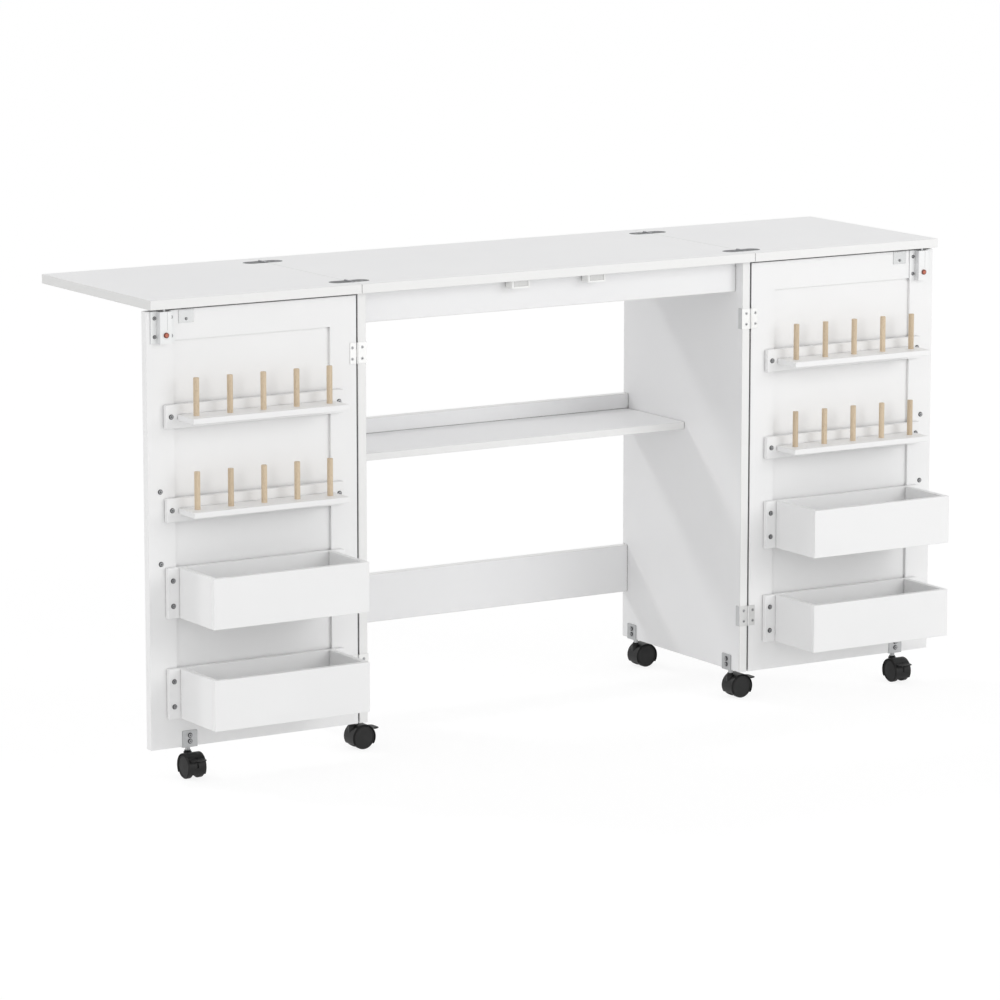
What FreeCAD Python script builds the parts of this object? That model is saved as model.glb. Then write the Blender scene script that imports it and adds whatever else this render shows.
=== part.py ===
import FreeCAD, Part
import math
import os
import re

import Sketcher
from FreeCAD import Placement, Rotation, Vector

# Folding sewing cutting table: a carcass of flat boards on casters, a top with two fold-over leaves, and
# two doors that swing out under the leaves and carry spool racks and bins. Millimetres, +Z up. The origin
# is on the floor, in the middle of the table's length and depth. The doors stand open and the leaves lie
# flat.

# --- sizes that can be set one by one --------------------------------------------------------------

driving = {
    # whole table
    "table_length": 1500,
    "table_height": 760,
    "top_depth": 375,
    "centre_length": 750,
    "board_thickness": 15,
    "front_overhang": 15,
    "seam_gap": 0.5,
    "edge_break": 0.6,
    # boards between the side panels
    "apron_height": 52,
    "apron_setback": 20,
    "rail_height": 82,
    "rail_bottom": 131,
    "shelf_top": 453,
    "shelf_thickness": 12,
    "shelf_setback": 170,
    "lip_height": 26,
    # cam locks
    "cam_radius": 7.5,
    "cam_depth": 10,
    "cam_inset": 34,
    "cam_play": 0.1,
    "cam_slot_length": 9,
    "cam_slot_width": 1.6,
    "cam_slot_depth": 1.2,
    # doors
    "door_gap": 3,
    "door_top_gap": 4,
    "frame_width": 47,
    "infill_thickness": 5,
    "groove_depth": 6,
    "groove_play": 0.5,
    # spool racks and bins on the doors
    "rack_board": 9,
    "rack_lap": 19,
    "tray_end_play": 1,
    "back_screw_inset": 9,
    "rack_back_height": 37,
    "rack_projection": 62,
    "tray_rise": 3,
    "upper_rack_drop": 165,
    "lowest_bin_rise": 48,
    # the height left free between the highest rack and the lowest bin is shared out in this proportion
    "rack_gap_share": 110,
    "middle_gap_share": 72.5,
    "bin_gap_share": 80,
    # pegs
    "peg_radius": 4.6,
    "peg_length": 66,
    "peg_depth": 6.5,
    "peg_reach": 34,
    "peg_play": 0.05,
    "peg_edge": 0.5,
    "peg_count": 5,
    "peg_end": 20,
    # bins
    "bin_projection": 122,
    "bin_height": 80,
    "bin_floor": 5,
    "bin_screw_spacing": 40,
    # door hinges: a flat leaf on the door, a leaf wrapped round the panel's front edge
    "hinge_height": 34,
    "hinge_sheet": 1.2,
    "hinge_play": 0.1,
    "hinge_door_leaf": 11.6,
    "hinge_wrap": 10,
    "knuckle_radius": 1.7,
    "hinge_pin_radius": 0.8,
    "hinge_knuckle_clear": 0.3,
    "hinge_screw_spacing": 18,
    "hinge_screw_inset": 7.5,
    "running_play": 0.06,
    "end_play": 0.3,
    "upper_hinge_drop": 92,
    "lower_hinge_rise": 96,
    # fold-over hinges let into the top
    "flap_hinge_length": 70,
    "flap_hinge_width": 27,
    "flap_plate": 2,
    "flap_seat_play": 0.1,
    "flap_screw_near": 8,
    "flap_screw_spread": 8,
    "flap_screw_far": 24,
    "flap_pin_radius": 0.7,
    "flap_knuckle_radius": 1.5,
    "flap_knuckle_clear": 0.4,
    "flap_pivot_rise": 0.3,
    "flap_hinge_front": 42,
    "flap_hinge_rear": 50,
    # corner latch
    "latch_width": 42,
    "latch_height": 50,
    "latch_base": 2,
    "latch_box_width": 21,
    "latch_projection": 13,
    "latch_corner": 1.5,
    "latch_screw_reach": 14.5,
    "latch_screw_margin": 1.5,
    "latch_head_radius": 3,
    "latch_inset": 28,
    "bolt_radius": 2.5,
    "bolt_axis": 6.5,
    "bolt_tail": 3,
    "bolt_tip_gap": 0.4,
    "bolt_travel": 8,
    "bolt_edge": 0.5,
    "button_radius": 4.25,
    "button_rise": 13.5,
    "button_proud": 2.5,
    "button_length": 4,
    "button_edge": 0.6,
    "button_hole_depth": 3.6,
    "strike_hole_radius": 3.5,
    "strike_hole_depth": 9,
    # magnetic catches and their plates
    "catch_width": 33,
    "catch_height": 14,
    "catch_wall": 2.5,
    "catch_gap": 0.4,
    "catch_depth": 20,
    "catch_reach": 304,
    "catch_ear_span": 51,
    "catch_ear_front": 6,
    "catch_ear_depth": 10,
    "catch_screw_span": 42,
    "magnet_recess": 0.6,
    "pole_proud": 0.4,
    "pole_sheet": 1,
    "plate_width": 26,
    "plate_height": 20,
    "plate_sheet": 1,
    "plate_drop": 1,
    "plate_screw": 6,
    # pull handles on the outer faces of the doors
    "pull_spacing": 114,
    "pull_length": 140,
    "pull_radius": 5,
    "pull_edge": 1,
    "pull_post_radius": 4,
    "pull_screw_depth": 9,
    "pull_projection": 28,
    "pull_inset": 21,
    "pull_height": 401.5,
    # casters
    "wheel_radius": 19.5,
    "caster_width": 30.7,
    "caster_trail": 13.6,
    "hood_web": 11,
    "hood_wall": 1.3,
    "wheel_play": 0.5,
    "hood_skirt": 8,
    "hood_edge": 0.9,
    "boss_radius": 6.5,
    "boss_drop": 0.8,
    "stem_radius": 4,
    "stem_neck_radius": 3,
    "stem_edge": 0.6,
    "stem_depth": 24,
    "collar_wall": 1.1,
    "collar_rise": 1.6,
    "stem_show": 7.6,
    "axle_radius": 2,
    "axle_edge": 0.3,
    "tread_edge": 1,
    "wheel_rim": 3,
    "wheel_dish": 0.8,
    "wheel_crown": 0.5,
    "wheel_cap": 1.8,
    "bracket_width": 26,
    "bracket_leg": 27,
    "bracket_sheet": 1.5,
    "bracket_corner": 1.5,
    "bracket_screw_low": 9.5,
    "bracket_screw_spacing": 9.5,
    "panel_caster_front": 37,
    "panel_caster_rear": 31,
    "door_caster_reach": 306,
    "lever_angle": 42,
    "lever_inset": 2.9,
    "lever_reach": 8.5,
    "lever_width": 25,
    "lever_root": 2.6,
    "lever_tip": 1.2,
    "lever_drop": 1.2,
    "lever_tip_lift": 0.9,
    "lever_upper_start": 3.9,
    "lever_lower_start": 7,
    "lever_eye_radius": 2.2,
    "lever_pin_radius": 1,
    "lever_clear": 0.8,
    "lever_swing_room": 4.3,
    "lever_arm_width": 5,
    "lever_corner": 5,
    "brake_slot_width": 2.2,
    "brake_slot_height": 7.6,
    "brake_slot_rise": 3,
    "brake_slot_depth": 3,
    # screws
    "screw_head_radius": 4,
    "screw_head_height": 1.6,
    "screw_radius": 1.75,
    "screw_length": 13,
    "small_head_radius": 2.4,
    "small_head_height": 1,
    "small_screw_radius": 1.25,
    "small_screw_length": 10,
    "screw_dome": 0.6,
}

# --- places worked out from them --------------------------------------------------------------------

layout = {
    "axle_rise": "wheel_radius",
    "hood_radius": "wheel_radius + wheel_play + hood_wall",
    "collar_top": "axle_rise + hood_radius + collar_rise",
    "floor_clearance": "collar_top + stem_show",
    "panel_depth": "top_depth - front_overhang",
    "front": "(bin_projection - panel_depth) / 2",
    "rear": "front + panel_depth",
    "underside": "table_height - board_thickness",
    "panel_height": "underside - floor_clearance",
    "side_outer": "centre_length / 2",
    "side_inner": "side_outer - board_thickness",
    "between_sides": "2 * side_inner",
    "seam": "side_outer",
    "leaf_length": "table_length / 2 - seam - seam_gap / 2",
    "hinge_line": "side_outer + door_gap / 2",
    "door_inner_end": "side_outer + door_gap",
    "door_width": "table_length / 2 - door_inner_end",
    "door_height": "panel_height - door_top_gap",
    "door_top": "floor_clearance + door_height",
    "door_centre": "door_inner_end + door_width / 2",
    "infill_width": "door_width - 2 * (frame_width - groove_depth + groove_play)",
    "infill_height": "door_height - 2 * (frame_width - groove_depth + groove_play)",
    "opening_width": "door_width - 2 * frame_width",
    "back_length": "opening_width + 2 * rack_lap",
    "tray_length": "opening_width - 2 * tray_end_play",
    "peg_spacing": "(tray_length - 2 * peg_end) / (peg_count - 1)",
    "back_screw": "back_length / 2 - back_screw_inset",
    "upper_rack": "door_top - upper_rack_drop",
    "lower_bin": "floor_clearance + lowest_bin_rise + bin_height / 2",
    "between_ends": "upper_rack - lower_bin - 1.5 * rack_back_height - 1.5 * bin_height",
    "gap_unit": "between_ends / (rack_gap_share + middle_gap_share + bin_gap_share)",
    "lower_rack": "upper_rack - rack_back_height - rack_gap_share * gap_unit",
    "upper_bin": "lower_bin + bin_height + bin_gap_share * gap_unit",
    "pivot_depth": "hinge_sheet + hinge_play",
    "hinge_axis": "front - pivot_depth",
    "upper_hinge": "door_top - upper_hinge_drop",
    "lower_hinge": "floor_clearance + lower_hinge_rise",
    "flap_front": "front - front_overhang + flap_hinge_front",
    "flap_rear": "rear - flap_hinge_rear",
    "latch_x": "table_length / 2 - latch_inset",
    "bolt_y": "front - bolt_axis",
    "bolt_length": "underside - bolt_tip_gap - latch_bottom - bolt_tail - bolt_travel",
    "latch_bottom": "door_top - latch_height",
    "latch_screw_low": "latch_height - frame_width + groove_depth + latch_screw_margin",
    "catch_x": "hinge_line - catch_reach",
    "magnet_height": "catch_height - 2 * catch_wall",
    "catch_front": "hinge_axis - pivot_depth + plate_sheet + catch_gap",
    "pull_x": "table_length / 2 - pull_inset",
    "stem_y": "front + board_thickness / 2",
    "door_caster_x": "hinge_line + door_caster_reach",
    "panel_caster_x": "side_outer - board_thickness / 2",
    "wheel_width": "(caster_width - hood_web) / 2 - wheel_play",
    "lever_x": "caster_trail + (hood_radius - lever_inset) * cos(lever_angle)",
    "lever_z": "axle_rise + (hood_radius - lever_inset) * sin(lever_angle)",
    "lever_end": "caster_trail + hood_radius + lever_reach",
}

doc = FreeCAD.newDocument("sewing_table")
size = doc.addObject("Spreadsheet::Sheet", "Size")
place = doc.addObject("App::VarSet", "Place")


def with_owner(text):
    """Puts the name of the sheet, or of the set of places, before each size named in a formula."""

    def owner(match):
        word = match.group(0)
        if word in driving:
            return "Size." + word
        if word in layout:
            return "Place." + word
        return word

    return re.sub(r"[a-z_]{3,}", owner, str(text))

for row, (name, number) in enumerate(driving.items(), start=1):
    size.set("A%d" % row, name)
    size.set("B%d" % row, str(number))
    size.setAlias("B%d" % row, name)
doc.recompute()
for name, formula in layout.items():
    place.addProperty("App::PropertyFloat", name)
    place.setExpression(name, with_owner(formula))
doc.recompute()

# --- small tools ----------------------------------------------------------------------------------

directions = {"x": Vector(1, 0, 0), "y": Vector(0, 1, 0), "z": Vector(0, 0, 1)}
nodes = []


def value(name):
    """The present value of a size or of a place."""
    return float(size.get(name) if name in driving else getattr(place, name))


def bind(item, prop, formula):
    """Ties one property of an object to a formula over the sizes."""
    item.setExpression(prop, with_owner(formula))


def put(item, x=0, y=0, z=0, axis="z", turn=0):
    """Turns an object about an axis through its own origin and sets that origin at a place."""
    item.Placement = Placement(Vector(), Rotation(directions[axis], turn))
    for letter, formula in zip("xyz", (x, y, z)):
        bind(item, "Placement.Base." + letter, formula)
    return item


def node(item, label):
    """Names an object as one of the pieces that are written out."""
    item.Label = label
    nodes.append(item)
    return item


def new_body(name):
    return doc.addObject("PartDesign::Body", name)


def sketch_on(body, side, lift=0):
    """A sketch on one of the body's own origin planes, lifted along that plane's normal."""
    sketch = body.newObject("Sketcher::SketchObject", body.Name + "_sketch")
    flat = [item for item in body.Origin.OriginFeatures if item.Role == side + "_Plane"]
    sketch.AttachmentSupport = [(flat[0], "")]
    sketch.MapMode = "FlatFace"
    bind(sketch, "AttachmentOffset.Base.z", lift)
    return sketch


def hold_point(sketch, geometry, which, x, y):
    """Holds a point of a sketch at its two distances from the sketch's origin."""
    for kind, formula, axis_line in (("DistanceX", x, -2), ("DistanceY", y, -1)):
        if str(formula) == "0":
            sketch.addConstraint(Sketcher.Constraint("PointOnObject", geometry, which, axis_line))
            continue
        index = sketch.addConstraint(Sketcher.Constraint(kind, -1, 1, geometry, which, 1.0))
        bind(sketch, "Constraints[%d]" % index, formula)


def outline(sketch, points):
    """A closed outline of straight lines through points given as pairs of formulas."""
    count = len(points)
    first = sketch.GeometryCount
    ring = [Vector(math.cos(math.tau * k / count), math.sin(math.tau * k / count), 0) for k in range(count)]
    for k in range(count):
        sketch.addGeometry(Part.LineSegment(ring[k], ring[(k + 1) % count]))
    for k in range(count):
        after = first + (k + 1) % count
        sketch.addConstraint(Sketcher.Constraint("Coincident", first + k, 2, after, 1))
    for k, (x, y) in enumerate(points):
        hold_point(sketch, first + k, 1, x, y)


def rectangle(sketch, left, low, right, high):
    outline(sketch, [(left, low), (right, low), (right, high), (left, high)])


def circle(sketch, x, y, radius):
    index = sketch.addGeometry(Part.Circle(Vector(1, 1, 0), Vector(0, 0, 1), 1.0))
    hold_point(sketch, index, 3, x, y)
    ring = sketch.addConstraint(Sketcher.Constraint("Radius", index, 1.0))
    bind(sketch, "Constraints[%d]" % ring, radius)


def feature(body, kind, sketch, length, both_ways, other_way):
    item = body.newObject("PartDesign::" + kind, body.Name + "_" + kind.lower())
    item.Profile = sketch
    item.SideType = "Symmetric" if both_ways else "One side"
    item.Reversed = other_way
    bind(item, "Length", length)
    body.Tip = item
    return item


def pad(body, sketch, length, both_ways=False, other_way=False):
    return feature(body, "Pad", sketch, length, both_ways, other_way)


def pocket(body, sketch, length, both_ways=False, other_way=False):
    return feature(body, "Pocket", sketch, length, both_ways, other_way)


def revolve(body, sketch, axis_line="V_Axis"):
    item = body.newObject("PartDesign::Revolution", body.Name + "_revolution")
    item.Profile = sketch
    item.ReferenceAxis = (sketch, [axis_line])
    item.Angle = 360
    body.Tip = item
    return item


def row_of(body, original, sketch, length, count):
    """Repeats a feature along its sketch's level axis."""
    item = body.newObject("PartDesign::LinearPattern", body.Name + "_row")
    item.Originals = [original]
    item.Direction = (sketch, ["H_Axis"])
    bind(item, "Length", length)
    bind(item, "Occurrences", count)
    body.Tip = item
    return item


def ease_edges(body, blank, amount="edge_break"):
    """Takes the sharpness off every edge of a blank."""
    item = body.newObject("PartDesign::Chamfer", body.Name + "_eased")
    item.Base = (blank, [])
    item.UseAllEdges = True
    bind(item, "Size", amount)
    body.Tip = item
    return item


def round_edges(body, blank, radius, wanted):
    """Rounds the edges of a blank whose middle passes a test."""
    doc.recompute()
    edges = enumerate(blank.Shape.Edges, start=1)
    names = ["Edge%d" % number for number, edge in edges if wanted(edge)]
    item = body.newObject("PartDesign::Fillet", body.Name + "_rounded")
    item.Base = (blank, names)
    bind(item, "Radius", radius)
    body.Tip = item
    return item


def along(axis, middle_test):
    """A test for straight edges that are parallel to an axis and whose middle is in the right place."""

    def wanted(edge):
        if edge.Curve.TypeId != "Part::GeomLine":
            return False
        return abs(edge.Curve.Direction.dot(directions[axis])) > 0.999 and middle_test(edge.CenterOfMass)

    return wanted


def board(name, length, depth, height):
    """A flat board with its lowest corner at its own origin and its edges eased."""
    body = new_body(name)
    sketch = sketch_on(body, "XY")
    rectangle(sketch, 0, 0, length, depth)
    ease_edges(body, pad(body, sketch, height))
    return body


def copy_of(item, x=0, y=0, z=0, axis="z", turn=0):
    """The same piece again, turned and set at another place."""
    again = doc.addObject("Part::Compound", item.Name + "_copy")
    again.Links = [item]
    return put(again, x, y, z, axis, turn)


def group(name, items):
    """Several loose pieces kept together under one name."""
    together = doc.addObject("Part::Compound", name)
    together.Links = items
    return together


def mirrored(item):
    """The same piece on the other side of the table's middle."""
    again = doc.addObject("Part::Mirroring", item.Name + "_mirrored")
    again.Source = item
    again.Normal = directions["x"]
    return again


def both_sides(item, name):
    """One node of each hand, from the right-hand piece."""
    node(item, "right_" + name)
    node(mirrored(item), "left_" + name)


# --- top ------------------------------------------------------------------------------------------


def flap_mortises(body, seam_x, way):
    """Cuts the two seats for the fold-over hinges: straight from the seam, round at the far end."""
    far = "%s + %d * (flap_hinge_length - flap_hinge_width) / 2" % (seam_x, way)
    half = "(flap_hinge_width / 2 + flap_seat_play)"
    for middle in ("flap_hinge_front", "top_depth - flap_hinge_rear"):
        straight = sketch_on(body, "XY", "board_thickness")
        rectangle(straight, seam_x, middle + " - " + half, far, middle + " + " + half)
        pocket(body, straight, "flap_plate")
        rounded = sketch_on(body, "XY", "board_thickness")
        circle(rounded, far, middle, half)
        pocket(body, rounded, "flap_plate")


def make_top():
    centre = board("centre_board", "centre_length - seam_gap", "top_depth", "board_thickness")
    flap_mortises(centre, "(0 - seam_gap / 2)", 1)
    flap_mortises(centre, "(centre_length - seam_gap / 2)", -1)
    put(centre, "seam_gap / 2 - seam", "front - front_overhang", "underside")
    node(centre, "centre_top")

    leaf = board("leaf_board", "leaf_length", "top_depth", "board_thickness")
    flap_mortises(leaf, "(0 - seam_gap / 2)", 1)
    strike = sketch_on(leaf, "XY")
    circle(strike, "latch_x - seam - seam_gap / 2", "front_overhang - bolt_axis", "strike_hole_radius")
    pocket(leaf, strike, "strike_hole_depth", other_way=True)
    put(leaf, "seam + seam_gap / 2", "front - front_overhang", "underside")
    both_sides(leaf, "leaf")


# --- carcass boards -------------------------------------------------------------------------------


def cam_seat(body, side, x, y, lift, other_way=False):
    """A blind round seat for a cam lock."""
    sketch = sketch_on(body, side, lift)
    circle(sketch, x, y, "cam_radius + cam_play")
    pocket(body, sketch, "cam_depth", other_way=other_way)


def make_carcass():
    panel = board("side_board", "board_thickness", "panel_depth", "panel_height")
    put(panel, "side_inner", "front", "floor_clearance")
    both_sides(panel, "side_panel")

    apron = board("apron_board", "between_sides", "board_thickness", "apron_height")
    for x in ("cam_inset", "between_sides - cam_inset"):
        cam_seat(apron, "XZ", x, "apron_height / 2", "0 - board_thickness", other_way=True)
    put(apron, "0 - side_inner", "front + apron_setback", "underside - apron_height")
    node(apron, "front_apron")

    shelf = board("shelf_board_blank", "between_sides", "panel_depth - shelf_setback", "shelf_thickness")
    for x in ("cam_inset", "between_sides - cam_inset"):
        for y in ("cam_inset", "panel_depth - shelf_setback - cam_inset"):
            cam_seat(shelf, "XY", x, y, 0, other_way=True)
    put(shelf, "0 - side_inner", "front + shelf_setback", "shelf_top - shelf_thickness")
    node(shelf, "shelf_board")

    lip = board("lip_board", "between_sides", "board_thickness", "lip_height")
    put(lip, "0 - side_inner", "rear - board_thickness", "shelf_top")
    node(lip, "shelf_lip")

    rail = board("rail_board", "between_sides", "board_thickness", "rail_height")
    for x in ("cam_inset", "between_sides - cam_inset"):
        cam_seat(rail, "XZ", x, "rail_height / 2", "0 - board_thickness", other_way=True)
    put(rail, "0 - side_inner", "rear - board_thickness", "rail_bottom")
    node(rail, "lower_rail")


def make_cam_locks():
    """The discs that draw the boards against the side panels, flush in their seats."""
    cam = new_body("cam")
    sketch = sketch_on(cam, "XY")
    circle(sketch, 0, 0, "cam_radius")
    pad(cam, sketch, "cam_depth")
    slot = sketch_on(cam, "XY", "cam_depth")
    half_length = "cam_slot_length / 2"
    half_width = "cam_slot_width / 2"
    rectangle(slot, "0 - " + half_length, "0 - " + half_width, half_length, half_width)
    pocket(cam, slot, "cam_slot_depth")
    cams = []
    for x in ("side_inner - cam_inset", "cam_inset - side_inner"):
        back_of_apron = "front + apron_setback + board_thickness - cam_depth"
        cams.append(copy_of(cam, x, back_of_apron, "underside - apron_height / 2", "x", -90))
        back_of_rail = "rear - cam_depth"
        cams.append(copy_of(cam, x, back_of_rail, "rail_bottom + rail_height / 2", "x", -90))
        for y in ("front + shelf_setback + cam_inset", "rear - cam_inset"):
            cams.append(copy_of(cam, x, y, "shelf_top - shelf_thickness + cam_depth", "x", 180))
    node(group("cams", cams), "cam_locks")


# --- doors ----------------------------------------------------------------------------------------


def make_door_frame():
    """Two stiles and two rails, grooved all round for the infill; the rails' tongues fill the grooves."""
    near = "(board_thickness - infill_thickness) / 2"
    far = "(board_thickness + infill_thickness) / 2"
    stile = new_body("stile")
    section = sketch_on(stile, "XY")
    outline(section, [
        (0, 0),
        ("frame_width", 0),
        ("frame_width", near),
        ("frame_width - groove_depth", near),
        ("frame_width - groove_depth", far),
        ("frame_width", far),
        ("frame_width", "board_thickness"),
        (0, "board_thickness"),
    ])
    pad(stile, section, "door_height")

    rail = new_body("door_rail")
    section = sketch_on(rail, "YZ")
    outline(section, [
        (0, 0),
        ("board_thickness", 0),
        ("board_thickness", "frame_width"),
        (far, "frame_width"),
        (far, "frame_width - groove_depth"),
        (near, "frame_width - groove_depth"),
        (near, "frame_width"),
        (0, "frame_width"),
    ])
    pad(rail, section, "opening_width")
    tongue = sketch_on(rail, "YZ", "0 - groove_depth")
    rectangle(tongue, near, 0, far, "frame_width - groove_depth")
    pad(rail, tongue, "opening_width + 2 * groove_depth")

    outer_stile = copy_of(stile, "table_length / 2", "front + board_thickness", "floor_clearance", "z", 180)
    inner_stile = copy_of(stile, "door_inner_end", "front", "floor_clearance")
    low_rail = copy_of(rail, "door_inner_end + frame_width", "front", "floor_clearance")
    high_rail = copy_of(rail, "door_inner_end + frame_width", "front + board_thickness", "door_top", "x", 180)
    both_sides(group("door_members", [outer_stile, inner_stile, low_rail, high_rail]), "door_frame")

    infill = new_body("infill")
    sketch = sketch_on(infill, "XY")
    rectangle(sketch, 0, 0, "infill_width", "infill_thickness")
    pad(infill, sketch, "infill_height")
    inset = "frame_width - groove_depth + groove_play"
    put(infill, "door_inner_end + " + inset, "front + " + near, "floor_clearance + " + inset)
    both_sides(infill, "door_panel")


def make_spool_racks():
    back = board("rack_back", "back_length", "rack_board", "rack_back_height")
    tray = board("rack_tray", "tray_length", "rack_projection - rack_board", "rack_board")
    holes = sketch_on(tray, "XY", "rack_board")
    span = "peg_spacing * (peg_count - 1)"
    circle(holes, "(tray_length - %s) / 2" % span, "rack_projection - peg_reach", "peg_radius + peg_play")
    row_of(tray, pocket(tray, holes, "peg_depth"), holes, span, "peg_count")
    racks = []
    pegs = []
    peg = new_body("peg")
    sketch = sketch_on(peg, "XY")
    circle(sketch, 0, 0, "peg_radius")
    ease_edges(peg, pad(peg, sketch, "peg_length"), "peg_edge")
    for middle in ("upper_rack", "lower_rack"):
        racks.append(copy_of(back, "door_centre - back_length / 2", "front - rack_board",
                             middle + " - rack_back_height / 2"))
        tray_low = middle + " + tray_rise - rack_board"
        racks.append(copy_of(tray, "door_centre - tray_length / 2", "front - rack_projection", tray_low))
        for k in range(int(size.get("peg_count"))):
            x = "door_centre + peg_spacing * (%d - (peg_count - 1) / 2)" % k
            pegs.append(copy_of(peg, x, "front - peg_reach", middle + " + tray_rise - peg_depth"))
    both_sides(group("rack_boards", racks), "spool_racks")
    both_sides(group("rack_pegs", pegs), "spool_pegs")


def make_bins():
    """Two open bins: a long back board, two sides, a front that covers the sides' ends, and a floor."""
    deep = "bin_projection - 2 * rack_board"
    back = board("bin_back", "back_length", "rack_board", "bin_height")
    side = board("bin_side", "rack_board", deep, "bin_height")
    face = board("bin_face", "tray_length", "rack_board", "bin_height")
    floor = board("bin_bottom", "tray_length - 2 * rack_board", deep, "bin_floor")
    boards = []
    left_end = "door_centre - tray_length / 2"
    right_end = "door_centre + tray_length / 2 - rack_board"
    for middle in ("upper_bin", "lower_bin"):
        low = middle + " - bin_height / 2"
        boards.append(copy_of(back, "door_centre - back_length / 2", "front - rack_board", low))
        for x in (left_end, right_end):
            boards.append(copy_of(side, x, "front - bin_projection + rack_board", low))
        boards.append(copy_of(face, left_end, "front - bin_projection", low))
        boards.append(copy_of(floor, left_end + " + rack_board", "front - bin_projection + rack_board", low))
    both_sides(group("bin_boards", boards), "bins")


def make_pull_handle():
    """A round bar on two posts, which screws through the outer stile hold."""
    bar = new_body("pull_bar")
    sketch = sketch_on(bar, "XY", "0 - pull_length / 2")
    circle(sketch, 0, 0, "pull_radius")
    ease_edges(bar, pad(bar, sketch, "pull_length"), "pull_edge")
    for side in ("0 - pull_spacing / 2", "pull_spacing / 2"):
        post = sketch_on(bar, "XZ")
        circle(post, 0, side, "pull_post_radius")
        pad(bar, post, "pull_projection - pull_radius")
        hole = sketch_on(bar, "XZ", "pull_projection - pull_radius")
        circle(hole, 0, side, "screw_radius + running_play")
        pocket(bar, hole, "pull_screw_depth + end_play")
    put(bar, "pull_x", "front + board_thickness + pull_projection - pull_radius", "pull_height")
    both_sides(bar, "pull_handle")


# --- door hinges ----------------------------------------------------------------------------------


def hinge_holes(leaf, x):
    """Two clearance holes through a hinge leaf, for flush screws."""
    holes = sketch_on(leaf, "XZ")
    for z in ("hinge_screw_spacing / 2", "0 - hinge_screw_spacing / 2"):
        circle(holes, x, z, "small_head_radius + running_play")
    pocket(leaf, holes, "2 * pivot_depth + hinge_sheet", both_ways=True)


def make_door_hinges():
    """The hinge line is each piece's origin; +Y points into the table."""
    back = "pivot_depth"
    face = "hinge_play"
    middle = "hinge_height / 3"
    clear = "(knuckle_radius + hinge_knuckle_clear)"

    fixed = new_body("fixed_leaf")
    inner_face = "(side_inner - hinge_line)"
    wrapped_face = inner_face + " - hinge_sheet"
    section = sketch_on(fixed, "XY")
    outline(section, [
        (wrapped_face, face),
        ("0 - hinge_pin_radius", face),
        ("0 - hinge_pin_radius", back),
        (inner_face, back),
        (inner_face, back + " + hinge_wrap"),
        (wrapped_face, back + " + hinge_wrap"),
    ])
    pad(fixed, section, "hinge_height", both_ways=True)
    knuckle = sketch_on(fixed, "XY")
    circle(knuckle, 0, 0, "knuckle_radius")
    pad(fixed, knuckle, "hinge_height", both_ways=True)
    window = sketch_on(fixed, "XY")
    rectangle(window, "0 - " + clear, "0 - " + clear, clear, clear)
    pocket(fixed, window, middle + " + 2 * end_play", both_ways=True)
    bore = sketch_on(fixed, "XY")
    circle(bore, 0, 0, "hinge_pin_radius + running_play")
    pocket(fixed, bore, "hinge_height", both_ways=True)
    hinge_holes(fixed, "side_outer - hinge_line - hinge_screw_inset")

    moving = new_body("moving_leaf")
    plate = sketch_on(moving, "XY")
    plate_end = "door_inner_end - hinge_line + hinge_door_leaf"
    rectangle(plate, clear, face, plate_end, back)
    pad(moving, plate, "hinge_height", both_ways=True)
    strap = sketch_on(moving, "XY")
    rectangle(strap, "hinge_pin_radius", face, "%s + hinge_sheet" % clear, back)
    pad(moving, strap, middle, both_ways=True)
    knuckle = sketch_on(moving, "XY")
    circle(knuckle, 0, 0, "knuckle_radius")
    pad(moving, knuckle, middle, both_ways=True)
    bore = sketch_on(moving, "XY")
    circle(bore, 0, 0, "hinge_pin_radius + running_play")
    pocket(moving, bore, "hinge_height", both_ways=True)
    hinge_holes(moving, "door_inner_end - hinge_line + hinge_screw_inset")

    pin = new_body("hinge_pin")
    sketch = sketch_on(pin, "XY", "0 - hinge_height / 2")
    circle(sketch, 0, 0, "hinge_pin_radius")
    pad(pin, sketch, "hinge_height")

    heights = ("upper_hinge", "lower_hinge")
    still = [copy_of(piece, "hinge_line", "hinge_axis", z) for z in heights for piece in (fixed, pin)]
    right = group("right_fixed_leaves", still)
    node(group("fixed_leaves", [right, mirrored(right)]), "panel_hinge_leaves")
    swinging = [copy_of(moving, "hinge_line", "hinge_axis", z) for z in heights]
    both_sides(group("swinging_leaves", swinging), "hinge_leaves")


# --- fold-over hinges -----------------------------------------------------------------------------


def half_stadium(body, way):
    """The flat plate on one side of the seam, let in flush with the board's face."""
    far = "%d * (flap_hinge_length - flap_hinge_width) / 2" % way
    straight = sketch_on(body, "XY", "0 - flap_plate")
    rectangle(straight, "%d * seam_gap / 2" % way, "0 - flap_hinge_width / 2", far, "flap_hinge_width / 2")
    pad(body, straight, "flap_plate")
    rounded = sketch_on(body, "XY", "0 - flap_plate")
    circle(rounded, far, 0, "flap_hinge_width / 2")
    pad(body, rounded, "flap_plate")


def flap_bore(body):
    bore = sketch_on(body, "XZ")
    circle(bore, 0, "flap_pivot_rise", "flap_pin_radius + running_play")
    pocket(body, bore, "flap_hinge_width", both_ways=True)


def flap_screw_holes(body, way):
    """Three clearance holes for flush screws."""
    holes = sketch_on(body, "XY", "0 - flap_plate")
    for x, y in flap_screw_places(way):
        circle(holes, x, y, "small_head_radius + running_play")
    pocket(body, holes, "flap_plate", other_way=True)


def flap_screw_places(way):
    near = "%d * flap_screw_near" % way
    return [
        (near, "flap_screw_spread"),
        (near, "0 - flap_screw_spread"),
        ("%d * flap_screw_far" % way, "0"),
    ]


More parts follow.
